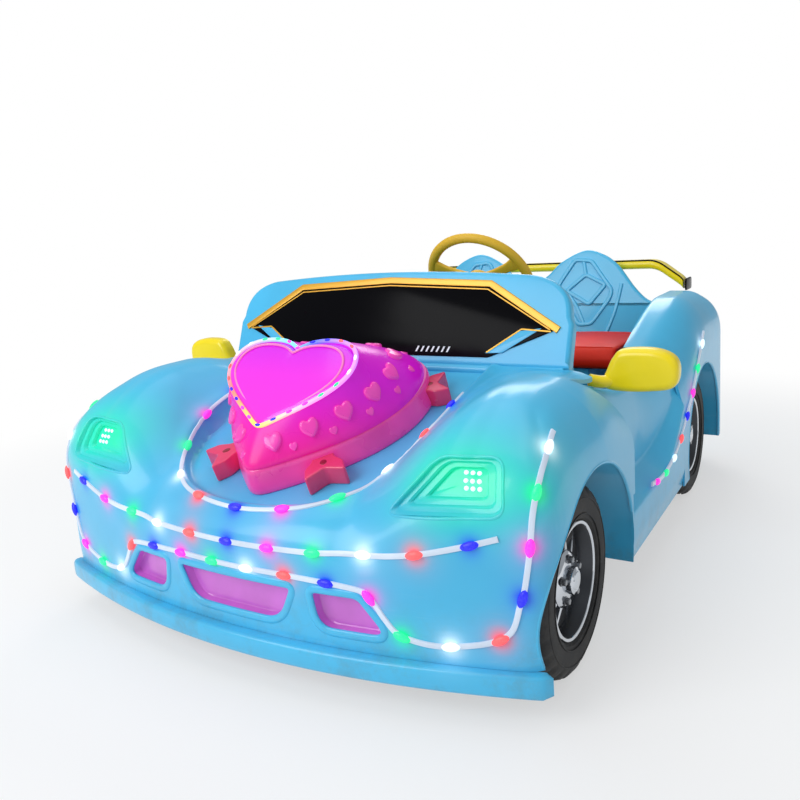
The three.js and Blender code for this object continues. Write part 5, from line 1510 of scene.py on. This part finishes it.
KITE = [(-0.036, 0.372), (-0.092, 0.282), (-0.010, 0.142), (0.036, 0.146), (0.094, 0.232), (0.102, 0.262),
        (0.056, 0.322), (0.024, 0.366)]
CROSS = [(-0.060, 0.262), (0.006, 0.318), (0.078, 0.282), (0.024, 0.214)]
BACK_LINES = ([(-0.134, 0.250), (-0.098, 0.176), (-0.072, 0.095)], [(0.134, 0.285), (0.116, 0.190), (0.084, 0.095)],
              [(-0.060, 0.262), (-0.020, 0.205), (0.010, 0.146)], [(0.006, 0.318), (-0.006, 0.372)])
PEAK = 0.203


def on_peak(corners, side):
    """Places measured from the middle of one seat's peak."""
    return np.array([(side * (PEAK + x), y) for x, y in corners])


for name, side in SIDES:
    for label, corners, radius in (("kite", KITE, 0.012), ("cross", CROSS, 0.010)):
        flat = even(rounded_outline(on_peak(corners, side), radius, 6), 90, True)
        raised("back_%s_%s" % (label, name), flat, 0.0135, 0.0060, closed=True)
    for k, line in enumerate(BACK_LINES):
        raised("back_line_%s_%d" % (name, k), even(smooth_line(on_peak(line, side), 24), 24), 0.0120, 0.0050)

# ---- rear wing: yellow blade with black edges and end plates on black struts ----
WING_LOW, WING_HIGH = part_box("rear_spoiler")
WING_TIP, WING_HALF_DEEP = 0.529, 0.045
WING_LINE = [(-WING_TIP, -0.089), (-0.432, -0.017), (0.432, -0.017), (WING_TIP, -0.089)]


def wing_rows(profile):
    """The blade's section carried along its drooped line."""
    flat = rounded_outline([(-WING_TIP, -0.200)] + WING_LINE + [(WING_TIP, -0.200)], 0.030, 9)
    flat = flat[flat[:, 1] > -0.0895]
    rows = []
    for x, drop in flat:
        tip = smooth(abs(x), 0.44, 0.53)
        rows.append([(x, WING_LOW.y + WING_HALF_DEEP + y * (1 - 0.12 * tip), WING_HIGH.z + drop + z)
                     for y, z in profile])
    return np.array(rows)


def wing_piece(name, profile, finish, slot, replaces=()):
    rows = wing_rows(profile)
    points = rows.reshape(-1, 3)
    faces = net(*rows.shape[:2], False, True) + caps_of(*rows.shape[:2])
    return piece(name, points, faces, finish, slot=slot, replaces=replaces, angle=50)


section = [(math.copysign(abs(math.cos(a)) ** 0.55, math.cos(a)) * 0.043,
            math.copysign(abs(math.sin(a)) ** 0.6, math.sin(a)) * 0.0155)
           for a in np.linspace(0, 2 * math.pi, 32, endpoint=False)]
wing_piece("wing_blade", section, "yellow", "wing_yellow", ("rear_spoiler",))
wing_piece("wing_top_band", [(-0.0335 + a, 0.0145 + b) for a, b in circle(0.0042, 10, 0.7)], "black",
           "black_gloss")
wing_piece("wing_rear_band", [(0.0415 + a, b) for a, b in circle(0.0048, 10, 1.6)], "black", "black_gloss")
STRUT_PLACE = (0.250, 0.820)
for name, side in SIDES:
    plate = rounded_outline([(0.778, 0.590), (0.862, 0.590), (0.864, 0.630), (0.780, 0.630)], 0.012, 6)
    end = frame_matrix((0, 1, 0), (0, 0, 1), (1, 0, 0), (side * 0.530, 0, 0))
    piece("wing_end_" + name, *slab(plate, -0.003, 0.003, 0.0022, end, 3), "black", slot="black_gloss")
    strut = rounded_outline([(-0.030, 0.486), (0.034, 0.486), (0.026, 0.672), (-0.022, 0.672)], 0.010, 5)
    stand = frame_matrix((0, 1, 0), (0, 0, 1), (1, 0, 0), (side * STRUT_PLACE[0], STRUT_PLACE[1], 0))
    piece("wing_strut_" + name, *slab(strut, -0.011, 0.011, 0.004, stand, 3), "black", slot="black_gloss")
    foot = rounded_outline([(-0.024, -0.040), (0.024, -0.040), (0.024, 0.040), (-0.024, 0.040)], 0.010, 5)
    base = Matrix.Translation((side * STRUT_PLACE[0], STRUT_PLACE[1], 0.4975))
    piece("wing_foot_" + name, *slab(foot, -0.012, 0.006, 0.003, base, 3), "black", slot="black_gloss")

# ---- steering wheel: drawn flat, the driver's side towards +Z ----
STEER = frame_matrix((1, 0, 0), (0, 0.5519, -0.8339), (0, 0.8339, 0.5519), (0.160, -0.015, 0.709))


GRIP_RADIUS, GRIP_STEPS, HUB_STEPS = 0.140, 72, 36
SPOKE_TURNS = (90, -25, -155)


def steering_wheel():
    body = "steering_wheel"
    path = put(STEER, level_ring(ring_outline(GRIP_RADIUS, 0, 0, GRIP_STEPS), 0))
    grip = sweep(path, facing_of(STEER, GRIP_STEPS), circle(0.013, 16, 0.92), True)
    piece("steering_rim", *grip, "wheel_yellow", body, slot="steering_yellow", replaces=("steering_wheel",), angle=60)
    blade = rounded_outline([(0.012, -0.019), (0.055, -0.013), (0.100, -0.012), (0.136, -0.020), (0.136, 0.020),
                             (0.100, 0.012), (0.055, 0.013), (0.012, 0.019)], 0.010, 4)
    groove = rounded_outline([(0.060, -0.006), (0.108, -0.006), (0.108, 0.006), (0.060, 0.006)], 0.005, 5)
    parts = []
    for degrees in SPOKE_TURNS:
        heading = STEER @ Matrix.Rotation(math.radians(degrees), 4, "Z")
        parts.append(raw("spoke", *slab(blade, -0.009, 0.003, 0.004, heading, 3)))
        piece("spoke_groove_%d" % (degrees % 360), *slab(groove, 0.002, 0.0034, 0.0006, heading, 2), "frame", body,
              slot="frame_black")
    hub = [(0.034, -0.026), (0.036, -0.012), (0.036, 0.001), (0.031, 0.006), (0.022, 0.0075)]
    points = np.vstack([level_ring(ring_outline(r, 0, 0, HUB_STEPS), z) for r, z in hub])
    faces = net(len(hub), HUB_STEPS, False, True) + caps_of(len(hub), HUB_STEPS)
    parts.append(raw("hub", put(STEER, points), faces))
    finish_piece(joined("steering_spokes", parts), "wheel_yellow", body, angle=50)
    cap = ring_outline(0.020, 0, 0, 32)
    piece("steering_cap", *slab(cap, 0.004, 0.0105, 0.003, STEER, 3), "frame", body, slot="frame_black")
    shaft = put(STEER, [(0, 0, z) for z in np.linspace(-0.090, -0.020, 6)])
    tube("steering_shaft", shaft, 0.009, "steel", body, out=np.tile((1.0, 0, 0), (6, 1)), slot="steel", sides=16)


steering_wheel()


# ---- mirrors: yellow pods with a glass towards the driver ----
POD = [(0.560, 0.494), (0.572, 0.524), (0.586, 0.552), (0.608, 0.570), (0.676, 0.572), (0.718, 0.556), (0.729, 0.524),
       (0.716, 0.488), (0.662, 0.477), (0.604, 0.475), (0.570, 0.480)]


def mirror(name, side):
    """A moulded pod, its glass and the stalk that joins it to the windscreen's foot."""
    flat = smooth_line([(side * x, z) for x, z in POD], 90, True)
    flat = flat if side < 0 else flat[::-1]
    stand = frame_matrix((1, 0, 0), (0, 0, 1), (0, -1, 0), (0, -0.228, 0))
    points, faces = slab(flat, -0.017, 0.0235, 0.0165, stand, 7, 0.006)
    piece("mirror_pod_" + name, points, faces, "yellow", slot="wing_yellow", replaces=("mirror_" + name,), angle=70)
    corners = np.array([(0.604, 0.494), (0.706, 0.494), (0.710, 0.554), (0.606, 0.556)]) * (side, 1)
    glass = rounded_outline(corners, 0.018, 8)
    piece("mirror_glass_" + name, *slab(glass, -0.0188, -0.0150, 0.0008, stand, 2), "mirror_glass", slot="chrome")
    path = smooth_line([(side * 0.540, -0.266, 0.504), (side * 0.562, -0.252, 0.498), (side * 0.584, -0.238, 0.499),
                        (side * 0.612, -0.228, 0.508)], 18)
    tube("mirror_stalk_" + name, path, 0.0140, "yellow", out=np.tile((0, 0.1, 1.0), (18, 1)), slot="wing_yellow",
         sides=16, angle=60)


for name, side in SIDES:
    mirror(name, side)

# ---- wheels: grooved tyres, chrome barrels with spokes, cap and lug nuts ----
TREAD_DEPTH, TYRE_HALF_WIDE = 0.005, 0.040
TYRE_STEPS, BLOCK_STEPS, BLOCK_DEPTH = 168, 6, 0.0042
SPOKES, NUTS, NUT_CIRCLE = 10, 5, 0.041


def tyre_profile():
    """The tyre's section from bead to bead: radius and place along the axle."""
    w, foot, outer = TYRE_HALF_WIDE, 0.1143, TYRE_RADIUS
    shoulder = [(foot, -w + 0.010), (foot + 0.006, -w + 0.003), (foot + 0.018, -w), (foot + 0.034, -w - 0.0005),
                (outer - 0.024, -w), (outer - 0.012, -w + 0.005), (outer - 0.004, -w + 0.012)]
    tread = []
    for groove in (-0.0135, 0.0135):
        tread += [(outer, groove - 0.0042), (outer - TREAD_DEPTH, groove - 0.0028),
                  (outer - TREAD_DEPTH, groove + 0.0028), (outer, groove + 0.0042)]
    return shoulder + tread + [(r, -x) for r, x in shoulder[::-1]]


def make_tyre(end, name, side, centre):
    """A tyre with two grooves, blocks cut in its shoulders and two rings on its wall."""
    label, body = "tyre_%s_%s" % (end, name), "wheel_%s_%s" % (end, name)
    profile = tyre_profile()
    points, faces = turned(profile, TYRE_STEPS, centre, side)
    grid = points.reshape(TYRE_STEPS, len(profile), 3)
    blocks = [j for j, (r, x) in enumerate(profile) if r > TYRE_RADIUS - 0.013 and 0.016 < abs(x) < 0.036]
    for k in range(TYRE_STEPS):
        if k % BLOCK_STEPS in (0, 1):
            for j in blocks:
                r = math.hypot(grid[k, j, 1] - centre[1], grid[k, j, 2] - centre[2])
                inner_share = 1 - BLOCK_DEPTH / r
                grid[k, j, 1:] = np.array(centre[1:]) + (grid[k, j, 1:] - np.array(centre[1:])) * inner_share
    piece(label + "_tread", points, faces, "tyre", body, slot="tyre_black", replaces=(label,), angle=28)
    for k, r in enumerate((0.128, 0.158)):
        ring = ring_outline(r, centre[1], centre[2])
        path = np.column_stack([np.full(len(ring), centre[0] + side * TYRE_HALF_WIDE), ring])
        rib = sweep(path, np.tile((float(side), 0, 0), (len(ring), 1)), circle(0.0014, 8), True)
        piece("%s_rib_%d" % (label, k), *rib, "tyre", body, slot="tyre_black", angle=60)


def spoke_shape():
    """One tapered spoke: its length along +X, its face towards +Z."""
    flat = np.array([(0.036, -0.0075), (0.060, -0.0046), (0.086, -0.0044), (0.0985, -0.0070), (0.0985, 0.0070),
                     (0.086, 0.0044), (0.060, 0.0046), (0.036, 0.0075)])
    tip = Matrix.Rotation(math.radians(11), 4, "Y")
    return raw("spoke", *slab(rounded_outline(flat, 0.004, 3), 0.0135, 0.0230, 0.0035, tip, 3, 0.0))


SPOKE = spoke_shape()
NUT = bolt_shape("nut", 0.0068, 0.0110)


def make_rim(end, name, side, centre):
    """Barrel, bright lip, dark disc, hub, cap, spokes and nuts of one wheel."""
    label, body = "rim_%s_%s" % (end, name), "wheel_%s_%s" % (end, name)
    w = 0.031
    barrel = [(0.1140, -w), (0.1140, w), (0.1125, w + 0.0012), (0.1065, w + 0.0005), (0.1045, w - 0.003),
              (0.1000, w - 0.012), (0.0960, w - 0.020), (0.0945, 0.006), (0.0940, 0.000), (0.0900, -0.008),
              (0.1060, -w)]
    piece(label + "_barrel", *turned(barrel, 96, centre, side), "dark_steel", body, slot="chrome",
          replaces=(label,), angle=40)
    lip = [(0.1142, w - 0.004), (0.1142, w + 0.0012), (0.1128, w + 0.0026), (0.1075, w + 0.0018), (0.1060, w - 0.001),
           (0.1075, w - 0.004)]
    piece(label + "_lip", *turned(lip, 96, centre, side), "chrome", body, slot="chrome", angle=40)
    disc = [(0.096, 0.003), (0.060, -0.001), (0.045, 0.004), (0.0135, 0.004), (0.0135, -0.018), (0.046, -0.018),
            (0.092, -0.008)]
    piece(label + "_disc", *turned(disc, 64, centre, side), "frame", body, slot="frame_black", angle=40)
    hub = [(0.0135, 0.000), (0.058, 0.000), (0.055, 0.012), (0.048, 0.018), (0.038, 0.0205), (0.0135, 0.0205)]
    piece(label + "_hub", *turned(hub, 64, centre, side), "chrome", body, slot="chrome", angle=32)
    cap = [(0.0002, 0.019), (0.0265, 0.019), (0.0272, 0.026), (0.0255, 0.0325), (0.0205, 0.0352), (0.0180, 0.0345),
           (0.0165, 0.0362), (0.0090, 0.0370), (0.0002, 0.0372)]
    piece(label + "_cap", *turned(cap, 48, centre, side), "chrome", body, slot="chrome", angle=32)
    turn = np.radians(np.arange(SPOKES) * 360.0 / SPOKES)
    out = np.tile((float(side), 0, 0), (SPOKES, 1))
    way = np.column_stack([np.zeros(SPOKES), np.cos(turn), np.sin(turn)])
    copies(label + "_spokes", np.tile(centre, (SPOKES, 1)) - out * 0.002, out, way, SPOKE, "chrome", body,
           slot="chrome", angle=40)
    turn = np.radians(np.arange(NUTS) * 360.0 / NUTS + 18)
    spots = np.array(centre) + np.column_stack([np.full(NUTS, side * 0.0185), NUT_CIRCLE * np.cos(turn),
                                                NUT_CIRCLE * np.sin(turn)])
    copies(label + "_nuts", spots, out[:NUTS], np.tile((0.0, 1.0, 0.0), (NUTS, 1)), NUT, "steel", body,
           slot="steel", angle=40)


for end, y in WHEELS:
    for name, side in SIDES:
        low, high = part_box("tyre_%s_%s" % (end, name))
        centre = tuple((low + high) / 2)
        make_tyre(end, name, side, centre)
        make_rim(end, name, side, centre)
bpy.data.objects.remove(SPOKE)
bpy.data.objects.remove(NUT)


# ---- door slot, well rims, floor mat and fixings ----
SLOT_STEPS = 30
# painted shadow: a flat dark strip on each door stands for the shadowed vent behind the front fender
for name, side in SIDES:
    tree = bvh_of(doors[name])
    slot_line = smooth_line([(-0.236, 0.300), (-0.222, 0.326), (-0.190, 0.340), (-0.150, 0.349)], SLOT_STEPS)
    path, out = on_skin(tree, slot_line, lambda p: (side * 1.2, p[0], p[1]), (-side, 0, 0))
    widths = np.interp(np.linspace(0, 1, SLOT_STEPS), [0, 0.3, 1], [0.6, 1.0, 0.15])
    profile = circle(0.009, 10, 0.25)
    rows = [path + np.cross(along(path), out) * (a * widths)[:, None] + out * b for a, b in profile]
    points = np.stack(rows, 1).reshape(-1, 3)
    faces = net(SLOT_STEPS, len(profile), False, True) + caps_of(SLOT_STEPS, len(profile))
    piece("door_slot_" + name, points, faces, "dark", slot="body_blue", angle=60)

well_edge = rounded_outline(well, 0.045, 8)
well_edge = well_edge[well_edge[:, 1] > REAR_CLIP + 0.004]
order = np.argsort(np.unwrap(np.arctan2(well_edge[:, 1] - REAR_CLIP, well_edge[:, 0])))
well_edge = even(well_edge[order], 120)
path, out = on_skin(REAR_TREE, well_edge * 1.004, from_above, (0, 0, -1))
bead("well_bead", path - out * 0.002, out, 0.0065)

FLOOR_TOP, MAT_THICK, RIB_COUNT, RIB_HALF = 0.1713, 0.004, 20, 0.004
HERE = Matrix.Identity(4)
mat = rounded_outline([(-0.420, -0.130), (0.420, -0.130), (0.420, 0.270), (-0.420, 0.270)], 0.030, 6)
piece("floor_mat", *slab(mat, FLOOR_TOP, FLOOR_TOP + MAT_THICK, 0.0015, HERE, 2), "mat", slot="rubber_black")
for k, x in enumerate(np.linspace(-0.380, 0.380, RIB_COUNT)):
    left, right = x - RIB_HALF, x + RIB_HALF
    rib = np.array([(left, -0.110), (right, -0.110), (right, 0.250), (left, 0.250)])
    piece("mat_rib_%d" % k, *slab(rib, FLOOR_TOP + 0.003, FLOOR_TOP + 0.006, 0.001, HERE, 1), "mat",
          slot="rubber_black")

# ---- running gear keeps its CAD shape with rounded edges ----
for node, finish, slot, body, edge, segments in (
        ("chassis_frame", "frame", "frame_black", "body", 0.002, 2),
        ("front_axle_beam", "frame", "frame_black", "body", 0.0015, 2),
        ("rear_axle", "steel", "steel", "body", 0.001, 2),
        ("drive_motor", "frame", "frame_black", "body", 0.002, 2),
        ("battery_pack", "frame", "frame_black", "body", 0.004, 3),
        ("floor_pan", "frame", "frame_black", "body", 0.0012, 2),
        ("tie_rod", "steel", "steel", "tie_rod", 0.001, 2),
        ("steering_column", "frame", "frame_black", "body", 0.001, 2),
        ("foot_pedal", "mat", "rubber_black", "body", 0.002, 2)):
    rounded_copy(node, finish, edge, segments, body=body)
for name, side in SIDES:
    rounded_copy("knuckle_" + name, "steel", 0.001, 2, body="knuckle_" + name)
BOLT = bolt_shape("bolt", 0.0065, 0.0055)
RAIL_X, RAIL_TOP = 0.260, 0.1672
spots = [(side * RAIL_X, y, RAIL_TOP) for _, side in SIDES for y in (-0.640, -0.540, 0.400, 0.520)]
copies("frame_bolts", spots, np.tile((0, 0, 1.0), (8, 1)), np.tile((1.0, 0, 0), (8, 1)), BOLT, "steel", slot="steel")
bpy.data.objects.remove(BOLT)
bpy.data.objects.remove(CAPSULE)


# ---- floor and light ----
FLOOR_HALF = 14.0


def pale_floor():
    """A matt floor that is plain white to the camera away from the car's shadow."""
    f = Finish("studio_floor")
    shadowed = f.node("ShaderNodeBsdfDiffuse", None, {"Color": (0.86, 0.87, 0.88, 1)})
    white = f.node("ShaderNodeEmission", None, {"Color": (1, 1, 1, 1), "Strength": 1.0})
    path = f.node("ShaderNodeLightPath", out="Is Camera Ray")
    glossy = f.node("ShaderNodeLightPath", out="Is Glossy Ray")
    through = f.node("ShaderNodeLightPath", out="Is Transmission Ray")
    x, y = f.axis("X"), f.axis("Y")
    far = ((x * x + y * y) * 0.25).eased(0.35, 1.6)
    seen = (path + glossy + through).least(1.0) * (0.55 + far * 0.45)
    mixed = f.node("ShaderNodeMixShader", None, (seen, shadowed, white))
    return f.shown(mixed)


corners = [(-FLOOR_HALF, -FLOOR_HALF, 0), (FLOOR_HALF, -FLOOR_HALF, 0), (FLOOR_HALF, FLOOR_HALF, 0),
           (-FLOOR_HALF, FLOOR_HALF, 0)]
floor = linked("studio_floor", mesh_of("studio_floor", corners, [(0, 1, 2, 3)]))
floor.data.materials.append(pale_floor())


def soft_light(name, place, target, size, power, colour=(1, 1, 1)):
    """A large lamp that faces a target and doesn't show to the camera."""
    data = bpy.data.lights.new(name, "AREA")
    data.shape, data.size, data.size_y, data.energy, data.color = "RECTANGLE", size[0], size[1], power, colour
    lamp = linked(name, data)
    lamp.location = place
    lamp.rotation_euler = (Vector(target) - Vector(place)).to_track_quat("-Z", "Y").to_euler()
    lamp.visible_camera = False


soft_light("key_light", (-1.5, -4.1, 2.9), (0, -0.2, 0.3), (3.2, 3.0), 126)
soft_light("side_light", (3.6, -1.0, 2.2), (0, 0, 0.3), (2.6, 2.8), 9, (0.95, 0.98, 1))
soft_light("back_light", (-1.2, 3.6, 3.0), (0, 0.2, 0.4), (2.6, 1.8), 62, (1, 0.98, 0.95))
soft_light("top_light", (-0.4, 0, 4.0), (0, 0, 0), (3.6, 3.6), 38)

world = bpy.data.worlds.new("studio")
SCENE.world = world
world.use_nodes = True
nodes, links = world.node_tree.nodes, world.node_tree.links
nodes.clear()
ambient, seen_white = nodes.new("ShaderNodeBackground"), nodes.new("ShaderNodeBackground")
ambient.inputs["Color"].default_value, ambient.inputs["Strength"].default_value = (0.92, 0.96, 1, 1), 0.41
seen_white.inputs["Color"].default_value, seen_white.inputs["Strength"].default_value = (1, 1, 1, 1), 1.0
rays, choose = nodes.new("ShaderNodeLightPath"), nodes.new("ShaderNodeMixShader")
sky = nodes.new("ShaderNodeOutputWorld")
links.new(rays.outputs["Is Camera Ray"], choose.inputs[0])
links.new(ambient.outputs[0], choose.inputs[1])
links.new(seen_white.outputs[0], choose.inputs[2])
links.new(choose.outputs[0], sky.inputs[0])
SCENE.view_settings.view_transform = "Standard"
